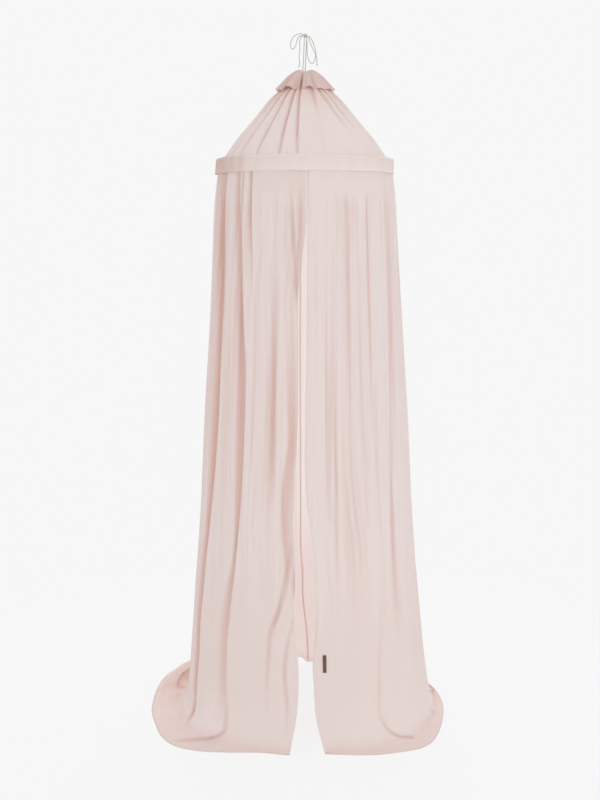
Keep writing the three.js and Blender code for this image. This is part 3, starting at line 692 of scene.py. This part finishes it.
def hanging_cloth(side, fullness, wave, across, degrees, height):
    """How far gathers and pleats move the hanging cloth outwards, how much painted shade they carry,
    and where the finest gathers are"""
    fine = fullness * ease(*gathers_top, height) * ease(*gathers_foot, height)
    offset = sum(depth * fine * wave(*streak) for depth, *streak in fine_gathers)
    depth, *streak = broad_wave
    offset += depth * ease(*wave_top, height) * ease(*wave_foot, height) * wave(*streak)
    tone, *streak = gather_tones[side]
    # Painted shade in streaks along the gathers, and under the casing
    gathered = tone * fine * wave(*streak) + casing_tone * ease(*casing_foot, height)
    # Deep pleats hang at the side and the back, where the cloth is gathered more
    drift = sum(turns * wave(*streak) for turns, *streak in pleat_drift)
    turn = 2 * math.pi * (across / pleat_spacing + drift)
    share, *streak = pleat_uneven
    grow = np.clip(0.75 + share * wave(*streak), 0.25, 1.1)
    grow = grow * ease(*pleats_front, degrees) * ease(*pleats_rear, degrees)
    grow = grow * ease(*pleats_top, height) * (0.35 + 0.65 * ease(*pleats_foot, height))
    offset += pleat_depth * grow * (np.cos(turn) - 0.35 * np.cos(2 * turn))
    # Painted shade in each pleat's valley
    gathered += pleat_tone * grow * np.clip(-np.cos(turn), 0, 1) ** 2
    # The seam under the casing puckers the cloth
    offset += pucker_depth * ease(*pucker_foot, height) * np.cos(2 * math.pi * across / pucker_spacing)
    return offset, gathered, fine


def lying_cloth(offset, wave, degrees, height, from_hem):
    """On the floor the cloth only rises, in low waves and short wrinkles, and least at its hem.
    Behind each side it makes a low heap in two layers."""
    lying = ease(*lying_top, height)
    resting = sum(rise * np.clip(0.5 + 0.5 * wave(*streak), 0, 1) for rise, *streak in train_waves)
    resting *= 0.3 + 0.7 * ease(*hem_side, from_hem)
    offset = offset * (1 - lying) + lying * (np.maximum(offset, 0) * 0.4 + resting)
    behind = ease(*heap_front, degrees) * ease(*heap_rear, degrees)
    offset += heap_height * behind * ease(*heap_top, height) * ease(*hem_side, from_hem)
    # Painted shade darkens the lying cloth, and the heap most near the skirt
    return offset, lying_tone * lying + heap_tone * behind * ease(*heap_shade, height)


def half_skirt(side, edge, train, flare, folds, laps, back_lift, fullness, seed):
    """Grid of points of one half of the skirt, from the front edge round to the centre back, with
    what its cloth keeps at each point"""
    columns = np.linspace(0, 1, skirt_columns)
    # Columns lie a little closer near the front edge and the back seam
    share = columns - 0.04 * np.sin(2 * math.pi * columns)
    start = side * edge[0][1] / front_hem_radius
    end = math.pi - side * back_seam[0][1] / side_hem_radius
    straight = start + (end - start) * share
    train_radius, flare_height = (smooth_table(table, np.degrees(straight)) for table in (train, flare))
    paths = [column_path(*column) for column in zip(straight, train_radius, flare_height)]
    radius, z, height, from_hem = np.stack(paths, axis=2)
    above = np.maximum(height, 0)
    front = side * smooth_table(edge, above) / skirt_radius(floor_z + above, 0.0)
    rear = math.pi - side * smooth_table(back_seam, above) / np.maximum(radius, 0.2)
    angle = front + (rear - front) * share
    degrees = np.degrees(angle)
    across = angle * mean_radius

    def wave(width, length, own):
        return streaks(across, height, width, length, seed + own)

    offset, gathered, fine = hanging_cloth(side, fullness, wave, across, degrees, height)
    for fold in folds:
        valley, ridge, depth = fold_valley(fold, angle, radius, height)
        offset += depth * (ridge - valley)
        # Painted shade in each fold's valley
        gathered += fold["tone"] * valley * np.minimum(depth / full_tone_depth, 1)
    offset, shade_share = lying_cloth(offset, wave, degrees, height, from_hem)
    # Painted shade darkens the foot of each half, and most so at the centre back. Painted light makes the
    # right half paler above it.
    at_back = ease(*rear_shade_front, degrees) * ease(*rear_shade, height)
    gathered += shade_share + foot_tone * (ease(*foot_shade, height) + at_back)
    if side > 0:
        gathered -= painted_light_tone * ease(*painted_light_foot, height) * (1 + ease(*painted_light_front, degrees))
    for lap in laps:
        lift, line = lap_shape(lap, angle, radius, height)
        offset += lift
        # Painted shadow along the edge of each lap
        gathered += line
    # Outwards is square to each column's path
    dr, dz = np.gradient(radius, axis=0), np.gradient(z, axis=0)
    size = np.maximum(np.hypot(dr, dz), 1e-9)
    radius = radius - offset * dz / size
    z = np.maximum(z + offset * dr / size, floor_z + lying_height)
    # Beside the back seam the foot is lifted off the floor
    from_seam = (rear - angle) * radius
    lift = back_lift * ease(*seam_side, from_seam) * ease(*seam_lift_end, from_seam)
    z += lift * ease(*seam_lift_top, height)
    grid = np.stack([side * radius * np.sin(angle), -radius * np.cos(angle), z], axis=2)
    kept = {"from_hem": from_hem, "gathered": np.clip(gathered, -0.2, 1), "fine": np.clip(fine, 0, 1)}
    return grid, kept


def cloth_piece(name, grid, material, closed=False, hems=(), thickness=cloth_thickness, **kept):
    """Thin closed sheet over a grid of points, thicker where its hems are turned over. Its map is in
    metres of cloth. What it keeps at each point is the distance from the hem for the row of stitches,
    the painted shade that darkens its colour, and where it has the finest gathers."""
    rows, columns = grid.shape[:2]
    middle = grid[rows // 2]
    across = np.concatenate([[0], np.linalg.norm(np.diff(middle, axis=0), axis=1).cumsum()])
    if closed:
        across = np.append(across, across[-1] + np.linalg.norm(middle[-1] - middle[0]))
    drop = np.linalg.norm(np.diff(grid, axis=0), axis=2)
    down = np.concatenate([np.zeros((1, columns)), drop.cumsum(axis=0)])
    bm = bmesh.new()
    cloth_map = bm.loops.layers.uv.verify()
    kept = {"from_hem": 1.0, "gathered": 0.0, "fine": 0.0, **kept}
    for label in kept:
        bm.verts.layers.float.new(label)
    layers = [(bm.verts.layers.float[label], np.broadcast_to(kept[label], (rows, columns))) for label in kept]
    verts = [[bm.verts.new(point) for point in row] for row in grid]
    for i in range(rows):
        for j in range(columns):
            for layer, values in layers:
                verts[i][j][layer] = values[i, j]
    for i in range(rows - 1):
        for j in range(columns if closed else columns - 1):
            n = (j + 1) % columns
            face = bm.faces.new((verts[i][j], verts[i + 1][j], verts[i + 1][n], verts[i][n]))
            corners = ((i, j, j), (i + 1, j, j), (i + 1, j + 1, n), (i, j + 1, n))
            for loop, (row, place, column) in zip(face.loops, corners):
                loop[cloth_map].uv = (across[place], down[row, column])
    bm.faces.ensure_lookup_table()
    sample = bm.faces[len(bm.faces) // 2 + columns // 3]
    sample.normal_update()
    if sample.normal.xy.dot(sample.calc_center_median().xy) < 0:
        bmesh.ops.reverse_faces(bm, faces=bm.faces)
    piece = new_object(name, bm, material)
    turned = piece.vertex_groups.new(name="turned_hem")
    inside = [i * columns + j for i in range(rows) for j in range(columns) if any(h(i, j) for h in hems)]
    if inside:
        turned.add(inside, 1.0, "REPLACE")
    solid = piece.modifiers.new("cloth", "SOLIDIFY")
    solid.thickness = hem_thickness if hems else thickness
    solid.offset = 0
    solid.use_rim = True
    if hems:
        solid.vertex_group = "turned_hem"
        solid.thickness_vertex_group = thickness / hem_thickness
    bpy.context.view_layer.objects.active = piece
    bpy.ops.object.modifier_apply(modifier="cloth")
    piece.vertex_groups.clear()
    piece.data.polygons.foreach_set("use_smooth", [True] * len(piece.data.polygons))
    return piece


def mix_shaders(tree, share, first, second, output="Material Output"):
    """Show a mix of two shaders"""
    mix = new_node(tree, "MixShader", 0, share, first, second)
    tree.links.new(mix, tree.nodes[output].inputs["Surface"])


thread_spacing = 0.0011
# How much of the relief and the colour the threads, their slubs and the crinkles make
weave_relief, slub_relief, crinkle_relief = 0.12, 0.5, 1.6
cloud_tint, slub_tint, stitch_shade = 0.6, 0.2, 0.35
noise_middle = 0.48


def muslin_material(name, light, deep, gather, through, see_through):
    """Thin cotton in a plain weave: fine threads with slubs, small crinkles, and light through it.
    Painted shade makes it darker and pinker in its folds and gathers, as much as each piece keeps."""
    material, tree, shader = new_material(name, roughness=0.92, specular=0.15)
    shader.inputs["Sheen Weight"].default_value = 0.12
    shader.inputs["Sheen Roughness"].default_value = 0.6
    place, across, along = map_place(tree)

    def combine(operation, *values):
        return calculate(tree, operation, *values)

    def threads(direction, spacing):
        return combine("SINE", combine("MULTIPLY", direction, 2 * math.pi / spacing))

    def streak_noise(scale_across, scale_down, detail):
        scaled = new_node(tree, "Mapping", 0, Vector=place, Scale=(scale_across, scale_down, 1))
        return noise_at(tree, scaled, 1, detail)

    def kept_value(label):
        value = new_node(tree, "Attribute", "Fac")
        value.node.attribute_name = label
        return value

    weave = combine("MULTIPLY", threads(across, thread_spacing), threads(along, thread_spacing))
    slubs = combine("ADD", streak_noise(900, 30, 1), streak_noise(30, 900, 1))
    relief = combine("MULTIPLY_ADD", weave, weave_relief, combine("MULTIPLY", slubs, slub_relief))
    relief = combine("MULTIPLY_ADD", streak_noise(120, 45, 3), crinkle_relief, relief)
    # The turned hem is held by a row of stitches, which draw it in
    off_row = combine("ABSOLUTE", combine("SUBTRACT", kept_value("from_hem"), hem_stitches))
    dash = combine("GREATER_THAN", threads(across, stitch_length), -0.3)
    stitch = combine("MULTIPLY", combine("LESS_THAN", off_row, stitch_width), dash)
    cloud = combine("MULTIPLY_ADD", streak_noise(14, 5, 2), cloud_tint, combine("MULTIPLY", slubs, slub_tint))
    shade = combine("SUBTRACT", cloud, combine("MULTIPLY", stitch, stitch_shade))
    # Painted shade in streaks along the finest gathers, added to the painted shade that each piece keeps
    gather_streak_shade = combine("SUBTRACT", streak_noise(80, 1.1, 2), noise_middle)
    shade_share = combine("MULTIPLY_ADD", gather_streak_shade, kept_value("fine"), kept_value("gathered"))

    # Mix a colour towards its painted shade colour
    def toward_shade(colour, into):
        blend = tree.nodes.new("ShaderNodeMix")
        blend.data_type = "RGBA"
        feed(tree, blend.inputs["Factor"], shade_share)
        feed(tree, blend.inputs[6], colour)
        blend.inputs[7].default_value = (*into, 1)
        return blend.outputs[2]

    tint = colour_ramp(tree, shade, deep, light, 0.25, 0.75)
    bump = cover(tree, shader, toward_shade(tint, gather), relief, strength=0.35, distance=0.0005)
    through_shaded = [0.5 * (c + g) for c, g in zip(through, gather)]
    glow = new_node(tree, "BsdfTranslucent", 0, Color=toward_shade((*through, 1), through_shaded), Normal=bump)
    mix_shaders(tree, see_through, shader.outputs[0], glow)
    return material


muslin = muslin_material(
    "muslin", light=(0.93, 0.884, 0.874), deep=(0.90, 0.842, 0.828), gather=(0.78, 0.53, 0.455),
    through=(0.97, 0.945, 0.94), see_through=0.6,
)
blend_start, blend_end = (0, -0.3673, -0.1309), (0, -0.923, -0.329)
skirts = {}
for name, side, edge, train, flare, folds, laps, back_lift, fullness, seed, body, nodes_replaced in (
    ("left_half_skirt", -1, left_edge, left_train, left_flare, left_folds, left_laps, 0.018, 1.0, 2.3,
     "left_curtain", ("front_curtain_left", "back_curtain_left")),
    ("right_half_skirt", 1, right_edge, right_train, right_flare, right_folds, right_laps, 0.002, 1.35, 41.7,
     "right_curtain", ("front_curtain_right", "back_curtain_right")),
):
    grid, kept = half_skirt(side, edge, train, flare, folds, laps, back_lift, fullness, seed)
    hem_rows = [lambda i, j, f=kept["from_hem"]: f[i, j] < hem_depth, lambda i, j: j < 4]
    skirt = cloth_piece(name, grid, muslin, hems=hem_rows, **kept)
    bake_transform(skirt, "canopy", body, start=blend_start, end=blend_end)
    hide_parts(*nodes_replaced)
    skirts[side] = grid


# The tape that binds the centre back seam on its inside: peach cotton, 6 mm wide. It shows
# through the slit as a thin line.
tape_width = 0.0056
tape_gap = 0.0005
tape_thickness = 0.0006
rib_scale = 320
tape_see_through = 0.7


def tape_material(name, light, deep):
    """Thin woven cotton tape with ribs across it, which lets some light through"""
    material, tree, shader = new_material(name, roughness=0.85)
    place = new_node(tree, "UVMap", "UV")
    ribs = new_node(tree, "TexWave", "Fac", Vector=place, Scale=rib_scale, Distortion=0.6)
    ribs.node.bands_direction = "Y"
    cover(tree, shader, colour_ramp(tree, ribs, deep, light), ribs, strength=0.5)
    glow = new_node(tree, "BsdfTranslucent", 0, Color=(*light, 1))
    mix_shaders(tree, tape_see_through, shader.outputs[0], glow)
    return material


peach_tape = tape_material("peach_tape", light=(0.99, 0.915, 0.88), deep=(0.975, 0.875, 0.83))


def back_tape():
    middle = (skirts[-1][:, -1] + skirts[1][:, -1]) / 2
    inward = -middle[:, :2] / np.linalg.norm(middle[:, :2], axis=1)[:, None]
    lift = cloth_thickness / 2 + tape_gap + tape_thickness / 2
    columns = []
    for share in (-0.5, -0.2, 0.2, 0.5):
        line = middle.copy()
        line[:, :2] += inward * lift
        line[:, 0] += share * tape_width
        line[:, 2] = np.maximum(line[:, 2], floor_z + lying_height + lift)
        columns.append(line)
    grid = np.stack(columns, axis=1)[: skirt_rows - 3]
    tape = cloth_piece("seam_binding", grid, peach_tape, thickness=tape_thickness)
    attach(tape, "canopy")
    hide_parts("back_seam_tape")


back_tape()


# The cone of cloth between the gathered neck and the hoop. Its cloth is pleated by the cord at
# the top and sewn flat to the band at its foot.
cone_columns = 320
cone_rows = 64
cone_line = [
    (0.0204, -0.1175), (0.0204, -0.1223), (0.0451, -0.1355), (0.1008, -0.1797), (0.1605, -0.247),
    (0.2148, -0.310), (0.2485, -0.357), (0.2573, -0.371),
]
# Pleats: degrees at the neck and at the foot, left of the front below zero, half width and depth
cone_pleats = [
    (-11, -5.4, 0.0045, 0.0055), (-21, -17.9, 0.005, 0.0065), (-33, -35, 0.005, 0.0065),
    (-44, -51, 0.0065, 0.0065), (-58, -62.5, 0.0085, 0.0075), (-72, -74, 0.009, 0.007),
    (15, 13, 0.007, 0.0035), (26, 48, 0.007, 0.0035), (39, 58, 0.006, 0.0035), (60, 67, 0.008, 0.003),
    (78, 84, 0.007, 0.004), (-92, -96, 0.006, 0.006), (-112, -110, 0.006, 0.006), (-130, -134, 0.006, 0.005),
    (-150, -151, 0.006, 0.006), (-168, -170, 0.006, 0.005), (98, 103, 0.007, 0.005), (117, 121, 0.006, 0.005),
    (135, 138, 0.006, 0.006), (155, 152, 0.006, 0.005), (173, 172, 0.006, 0.006),
]
# Shares of a pleat's half width: each side of its valley, and its painted crease line
steep_side, soft_side, crease_width = 0.6, 1.8, 0.35
full_pleat_depth = 0.006
neck_gathers, neck_gather_depth = 44, 0.0011


def profile_points(line, count):
    """Even points of a smooth line of radius and z"""
    fine = smooth_path([(r, 0, z) for r, z in line], 0.0008)
    along = np.linspace(0, len(fine) - 1, count)
    return np.stack([np.interp(along, np.arange(len(fine)), fine[:, k]) for k in (0, 2)], axis=1)


def ring_places(profile, columns):
    """Way down, angle and radius at the rows and columns of a cloth ring"""
    angles = np.linspace(-math.pi, math.pi, columns, endpoint=False)
    return np.linspace(0, 1, len(profile))[:, None], angles[None, :], profile[:, :1]


def ring_grid(profile, moved):
    """Grid of points of a cloth ring, moved square to its profile"""
    _, angles, radius = ring_places(profile, moved.shape[1])
    dr, dz = np.gradient(profile, axis=0).T[:, :, None]
    size = np.hypot(dr, dz)
    radius = radius - moved * dz / size
    z = profile[:, 1:] + moved * dr / size
    return np.stack([radius * np.sin(angles), -radius * np.cos(angles), z], axis=2)


def turn_between(angle, other):
    return (angle - other + math.pi) % (2 * math.pi) - math.pi


def cone_shape(down, angles, radius):
    """How far the cone's cloth is moved outwards, and how much painted shade darkens it. Each pleat is a
    valley, steep on its right side, with a ridge beside it and painted shade in it. The left front ones also
    have a sharp crease, which is only a painted dark line."""
    moved = neck_gather_depth * ease(0.5, 0.05, down) * np.cos(neck_gathers * angles)
    # Painted shade near the gathered neck, under the frill
    shade_share = 0.35 * ease(0.55, 0.08, down) * np.ones_like(angles)
    for neck, foot, width, depth in cone_pleats:
        # Pleats at the left front run down to the band, and the others fade on the way
        left_front = -90 < neck < 0
        end = 1.0 if left_front else 0.78 if 20 < neck < 40 else 0.62
        fading = 0.5 if left_front else 0.85
        growth = ease(0.0, 0.12, down) * (1 - fading * ease(end - 0.3, end, down))
        away = turn_between(angles, np.radians(neck + (foot - neck) * down)) * radius / width
        valley = np.exp(-np.abs(np.where(away > 0, away / steep_side, away / soft_side)) ** 2.2)
        ridge = np.exp(-((away - 1.5) ** 2))
        painted_crease = np.exp(-((away / crease_width) ** 2)) * left_front
        moved += depth * growth * (0.35 * ridge - valley)
        # Painted shade in each valley, and a painted dark line for the crease
        shade_share += (0.75 * valley**2 + 0.35 * painted_crease) * growth * min(depth / full_pleat_depth, 1)
    return moved, np.clip(shade_share, 0, 1)


cone_profile = profile_points(cone_line, cone_rows)
cone_moved, cone_shade = cone_shape(*ring_places(cone_profile, cone_columns))
cone_grid = ring_grid(cone_profile, cone_moved)
cone = cloth_piece("gathered_cone", cone_grid, muslin, gathered=cone_shade, closed=True)
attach(cone, "canopy")
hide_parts("cone_cloth")


# The tape channel round the neck: cotton tape folded over the cord, which draws the cone's cloth
# into gathers there. The frill covers it.
channel_low, channel_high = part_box("neck_channel")
channel_radius = channel_high.x
channel_profile = [
    (neck_cord_radius + 0.0002, channel_high.z), (channel_radius - 0.0012, channel_high.z - 0.0001),
    (channel_radius - 0.0004, (channel_low.z + channel_high.z) / 2),
    (channel_radius - 0.0012, channel_low.z + 0.0001), (neck_cord_radius + 0.0002, channel_low.z),
]
channel_columns = 120
channel_rows = 14


def neck_tape():
    profile = profile_points(channel_profile, channel_rows)
    _, angles, _ = ring_places(profile, channel_columns)
    grid = ring_grid(profile, 0.0003 * np.cos(22 * angles))
    tape = cloth_piece("neck_tape", grid, peach_tape, closed=True, thickness=tape_thickness)
    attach(tape, "canopy")
    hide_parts("neck_channel")


neck_tape()


# The band over the hoop and the facing inside it make the casing that holds the tubes. Both are
# muslin in two layers, and the band hangs 4 cm down over the top of the skirt.
tube_low, tube_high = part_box("hoop_tube_1")
hoop_z = (tube_low.z + tube_high.z) / 2
facing_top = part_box("casing_facing")[1].z
hoop_radius = 0.274
casing_radius = (tube_high.z - tube_low.z) / 2 + 0.0009
casing_side = hoop_radius + casing_radius
band_columns = 320
band_rows = 40
band_hem = 0.008
band_thickness = 0.0012
facing_columns = 240
facing_rows = 24
facing_thickness = 0.0009
# At the left side the band's edge stands out further, and painted shade darkens its cloth there
band_pull, pull_middle, pull_spread = 0.006, math.radians(-92), 0.5
band_left_shade, band_shade_front, band_shade_rear = 0.42, (-28, -62), (-135, -95)
band_shade_streaks = (0.1, 0.02, 0.08, 5.1)
# The band's copy of the muslin: painted light makes it lighter than the skirt's
lit_band_cloth = muslin_material(
    "lit_band_muslin", light=(0.99, 0.92, 0.90), deep=(0.985, 0.905, 0.88), gather=(0.76, 0.50, 0.42),
    through=(0.99, 0.95, 0.935), see_through=0.48,
)


def casing_arc(start, end, count):
    angles = np.radians(np.linspace(start, end, count))
    return [(hoop_radius + casing_radius * math.cos(a), hoop_z + casing_radius * math.sin(a)) for a in angles]


def way_to_edge(profile):
    """Distance of each row of a cloth ring from its lower edge"""
    return np.append(np.linalg.norm(np.diff(profile, axis=0), axis=1)[::-1].cumsum()[::-1], 0)[:, None]


def casing():
    top = [(0.2585, band_high.z - 0.0007), (0.266, band_high.z - 0.0004)]
    side = [(casing_side, hoop_z - 0.02), (casing_side + 0.0003, band_edge)]
    profile = profile_points([*top, *casing_arc(100, 0, 7), *side], band_rows)
    down, angles, _ = ring_places(profile, band_columns)
    pulled = band_pull * np.exp(-((turn_between(angles, pull_middle) / pull_spread) ** 2))
    moved = down * (pulled + 0.0009 * np.cos(9 * angles + 1.3) + 0.0006 * np.cos(23 * angles))
    to_edge = way_to_edge(profile)
    # Painted shade on the band's left side, which turns away from the light, and in faint streaks all round
    band_shade = band_left_shade * ease(*band_shade_front, np.degrees(angles)) * ease(*band_shade_rear, np.degrees(angles))
    share, *streak = band_shade_streaks
    band_shade = band_shade + share * streaks(*np.broadcast_arrays(angles * hoop_radius, to_edge), *streak)
    band = cloth_piece("casing_band", ring_grid(profile, moved), lit_band_cloth, closed=True,
                       thickness=band_thickness, from_hem=to_edge + hem_depth - band_hem,
                       gathered=np.clip(band_shade, 0, 1))
    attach(band, "canopy")
    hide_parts("hoop_band")
    profile = profile_points([(0.2571, facing_top - 0.0005), *casing_arc(152, 316, 10)], facing_rows)
    _, angles, _ = ring_places(profile, facing_columns)
    grid = ring_grid(profile, 0.0002 * np.cos(17 * angles))
    facing = cloth_piece("inner_facing", grid, lit_band_cloth, closed=True, thickness=facing_thickness)
    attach(facing, "canopy")
    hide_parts("casing_facing")


casing()


# The frill over the crown: a ring of the same cloth in two layers, gathered by the cord and
# spread in soft flutes over the cone.
frill_columns = 300
frill_rows = 40
frill_hem = 0.006
frill_thickness = 0.0012
frill_line = [
    (0.0145, -0.1056), (0.0172, -0.1000), (0.0245, -0.0994), (0.036, -0.1048), (0.049, -0.1142),
    (0.0605, -0.1246), (0.0686, -0.1330), (0.080, -0.1432), (0.094, -0.1556),
]
# Flutes: degrees of the middle, half width in degrees, and lift of the edge
frill_flutes = [
    (-38, 17, 0.012), (7, 12, 0.010), (30, 12, 0.003), (58, 18, 0.004), (92, 16, 0.009), (125, 20, 0.010),
    (158, 16, 0.008), (-165, 16, 0.011), (-130, 18, 0.009), (-90, 18, 0.010), (-66, 9, 0.004),
]
# Valleys between them: degrees of the middle, half width in degrees, and depth
frill_valleys = [(-11.5, 3.4, 0.012), (-22, 5, 0.003), (-58, 5, 0.004), (20, 4, 0.003), (75, 7, 0.004)]
valley_shade_tone = 60
frill_gathers = 30
# The frill's copy of the muslin: painted shade makes it darker and pinker than the skirt's
shaded_crown_cloth = muslin_material(
    "shaded_crown_muslin", light=(0.84, 0.69, 0.66), deep=(0.79, 0.615, 0.585), gather=(0.62, 0.30, 0.24),
    through=(0.93, 0.82, 0.78), see_through=0.3,
)


def frill_shape(down, angles):
    """How far the frill's cloth is moved outwards, and the painted shade in its valleys"""
    spread = ease(0.15, 1.0, down)
    moved = -0.002 * spread - 0.008 * spread**2 * np.ones_like(angles)
    for middle, width, lift in frill_flutes:
        away = np.clip(np.degrees(turn_between(angles, math.radians(middle))) / width, -1, 1)
        moved += lift * spread * (0.5 + 0.5 * np.cos(math.pi * away))
    shade_share = np.zeros_like(moved)
    for middle, width, depth in frill_valleys:
        away = np.degrees(turn_between(angles, math.radians(middle))) / width
        valley = depth * ease(0.1, 0.7, down) * np.exp(-(away**2))
        moved -= valley
        # Painted shade in the valleys between the flutes
        shade_share += valley_shade_tone * valley
    # Its top dips at the front and the back, where the cord goes in
    notch = 0.007 * np.cos(angles) ** 4 * ease(0.45, 0.0, down)
    moved += 0.0006 * ease(0.6, 0.1, down) * np.cos(frill_gathers * angles) - notch
    return moved, np.clip(shade_share, 0, 1)


def crown_frill():
    profile = profile_points(frill_line, frill_rows)
    down, angles, _ = ring_places(profile, frill_columns)
    moved, shade_share = frill_shape(down, angles)
    frill = cloth_piece("crown_frill", ring_grid(profile, moved), shaded_crown_cloth, closed=True,
                        thickness=frill_thickness, from_hem=way_to_edge(profile) + hem_depth - frill_hem,
                        gathered=shade_share)
    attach(frill, "canopy")
    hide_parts("crown_cap")


crown_frill()


# The label near the right front edge: a strip of bare brown leather with rounded corners and worn
# edges, sewn on at its two ends.
label_width = 0.011
label_length_share = 0.98
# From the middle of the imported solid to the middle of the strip
label_shift = Vector((-0.0055, 0, -0.0036))
label_corner = 0.0018
label_worn_edge = 0.0003


def leather_material():
    """Smooth brown leather with a fine grain and darker patches"""
    material, tree, shader = new_material("brown_leather", roughness=0.55)
    place = object_place(tree)
    grain = new_node(tree, "TexVoronoi", "Distance", Vector=place, Scale=1500)
    wear = noise_at(tree, place, 90, 4)
    tint = colour_ramp(tree, wear, deep=(0.10, 0.036, 0.024), light=(0.20, 0.085, 0.055), low=0.3, high=0.75)
    cover(tree, shader, tint, grain, strength=0.35)
    return material


def box_frame(node):
    """Middle of a box-shaped node, and its edges out of the cloth and up"""
    corners = {tuple(round(c, 6) for c in v.co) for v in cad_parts[node].data.vertices}
    corners = [Vector(c) for c in corners]
    edges = []
    for edge in sorted((c - corners[0] for c in corners[1:]), key=lambda e: e.length):
        if all(abs(edge.normalized().dot(e.normalized())) < 0.01 for e in edges):
            edges.append(edge)
    up = max(edges, key=lambda e: abs(e.z))
    out = next(e for e in edges if e is not up)
    return sum(corners, Vector()) / len(corners), out, up


leather = leather_material()


def label():
    """The strip, and the place and size that its stitches follow"""
    middle, out, up = box_frame("leather_label")
    middle = middle + label_shift
    size = (label_width, out.length, up.length * label_length_share)
    up = up.normalized() * (1 if up.z > 0 else -1)
    out = out.normalized() * (1 if out.xy.dot(middle.xy) > 0 else -1)
    place = Matrix.Translation(middle) @ Matrix((out.cross(up), out, up)).transposed().to_4x4()
    bpy.ops.object.select_all(action="DESELECT")
    bpy.ops.mesh.primitive_cube_add(size=1)
    piece = bpy.context.active_object
    piece.name = "bare_label"
    piece.data.transform(Matrix.Diagonal((*size, 1)))
    bpy.ops.object.mode_set(mode="EDIT")
    bm = bmesh.from_edit_mesh(piece.data)
    for edge in bm.edges:
        ends = [v.co for v in edge.verts]
        edge.select = abs(ends[0].y - ends[1].y) > size[1] / 2
    bm.select_flush_mode()
    bmesh.update_edit_mesh(piece.data)
    bpy.ops.mesh.select_mode(type="EDGE")
    bpy.ops.mesh.bevel(offset=label_corner, segments=4, affect="EDGES")
    bpy.ops.object.mode_set(mode="OBJECT")
    soften = piece.modifiers.new("worn", "BEVEL")
    soften.width = label_worn_edge
    soften.segments = 3
    soften.limit_method = "ANGLE"
    bpy.ops.object.modifier_apply(modifier="worn")
    piece.data.transform(place)
    piece.data.materials.append(leather)
    piece.data.polygons.foreach_set("use_smooth", [True] * len(piece.data.polygons))
    bpy.ops.object.shade_smooth_by_angle(angle=math.radians(40))
    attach(piece, "right_curtain")
    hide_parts("leather_label")
    return place, size


label_place, label_size = label()

# Brown cotton thread holds the label at its top and bottom. Each row has four short stitches,
# which go over the leather and into the cloth.
thread_thickness = 0.0006
stitch_count = 4
stitch_inset = 0.0035
stitch_step = 0.0003


def thread_material():
    """Matt brown cotton thread with a fine twist"""
    material, tree, shader = new_material("brown_thread", roughness=0.8)
    twist = noise_at(tree, object_place(tree), 2600)
    tint = colour_ramp(tree, twist, deep=(0.16, 0.062, 0.042), light=(0.32, 0.15, 0.105))
    feed(tree, shader.inputs["Base Color"], tint)
    return material


brown_thread = thread_material()


def stitch_row(name, node, up):
    space = label_size[0] / stitch_count
    top = label_size[1] / 2 + thread_thickness * 0.3
    paths = []
    for k in range(stitch_count):
        x = (k + 0.5) * space - label_size[0] / 2
        over = [(-0.34, 0), (-0.22, top), (0.22, top), (0.34, 0)]
        route = [label_place @ Vector((x + share * space, y, up)) for share, y in over]
        paths.append(smooth_path(route, stitch_step))
    row = rope_object(name, paths, thread_thickness, brown_thread)
    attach(row, "right_curtain")
    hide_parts(node)


stitch_row("top_stitches", "label_stitch_top", label_size[2] / 2 - stitch_inset)
stitch_row("bottom_stitches", "label_stitch_bottom", stitch_inset - label_size[2] / 2)


# The floor is a plain pale plane. A soft lamp stands in front, and one behind lights the cloth
# through. Camera, mirror and see-through rays meet the photograph's pale grey behind everything.
pale_grey = 0.93
floor_size = 48
# Where the floor's shadow starts to fade and where it ends, and the share of its glow there
shadow_near, shadow_far = 0.5, 1.6
near_glow, far_glow = 0.88, 1.0
room_light, room_colour = 0.92, (1, 0.985, 0.97, 1)


def shown_behind(tree):
    """One where the camera, a reflection or a view through cloth looks at the background"""
    path = new_node(tree, "LightPath", 0).node.outputs
    direct = calculate(tree, "MAXIMUM", path["Is Camera Ray"], path["Is Glossy Ray"])
    return calculate(tree, "MAXIMUM", direct, path["Is Transmission Ray"])


def studio():
    bpy.ops.object.select_all(action="DESELECT")
    bpy.ops.mesh.primitive_plane_add(size=floor_size, location=(0, 0, floor_z))
    floor = bpy.context.active_object
    floor.name = "studio_floor"
    material, tree, shader = new_material("studio_floor", roughness=0.9, specular=0.0)
    shader.inputs["Base Color"].default_value = (0.9, 0.9, 0.9, 1)
    # Near the canopy the floor takes its shadow, and further off it is as plain as the backdrop
    away = new_node(tree, "VectorMath", 1, object_place(tree))
    away.node.operation = "LENGTH"
    plain = new_node(tree, "MapRange", 0, away, shadow_near, shadow_far, near_glow, far_glow)
    plain.node.interpolation_type = "SMOOTHSTEP"
    glow = new_node(tree, "Emission", 0, Strength=pale_grey)
    share = calculate(tree, "MULTIPLY", shown_behind(tree), plain)
    mix_shaders(tree, share, shader.outputs[0], glow)
    floor.data.materials.append(material)
    scene.world = bpy.data.worlds.new("studio")
    scene.world.use_nodes = True
    tree = scene.world.node_tree
    light = tree.nodes["Background"]
    light.inputs["Color"].default_value = room_colour
    light.inputs["Strength"].default_value = room_light
    backdrop = new_node(tree, "Background", 0, Color=(1, 1, 1, 1), Strength=pale_grey)
    mix_shaders(tree, shown_behind(tree), light.outputs[0], backdrop, output="World Output")
    for name, place, target, size, power in (
        ("key_lamp", (1.3, -3.3, 0.4), (0, 0, -1.2), 1.8, 18),
        ("back_lamp", (0.4, 4.0, -0.3), (0, 0, -1.2), 3.0, 92),
    ):
        data = bpy.data.lights.new(name, "AREA")
        data.size = size
        data.energy = power
        lamp = bpy.data.objects.new(name, data)
        lamp.location = place
        lamp.rotation_euler = (Vector(target) - Vector(place)).to_track_quat("-Z", "Y").to_euler()
        scene.collection.objects.link(lamp)


studio()
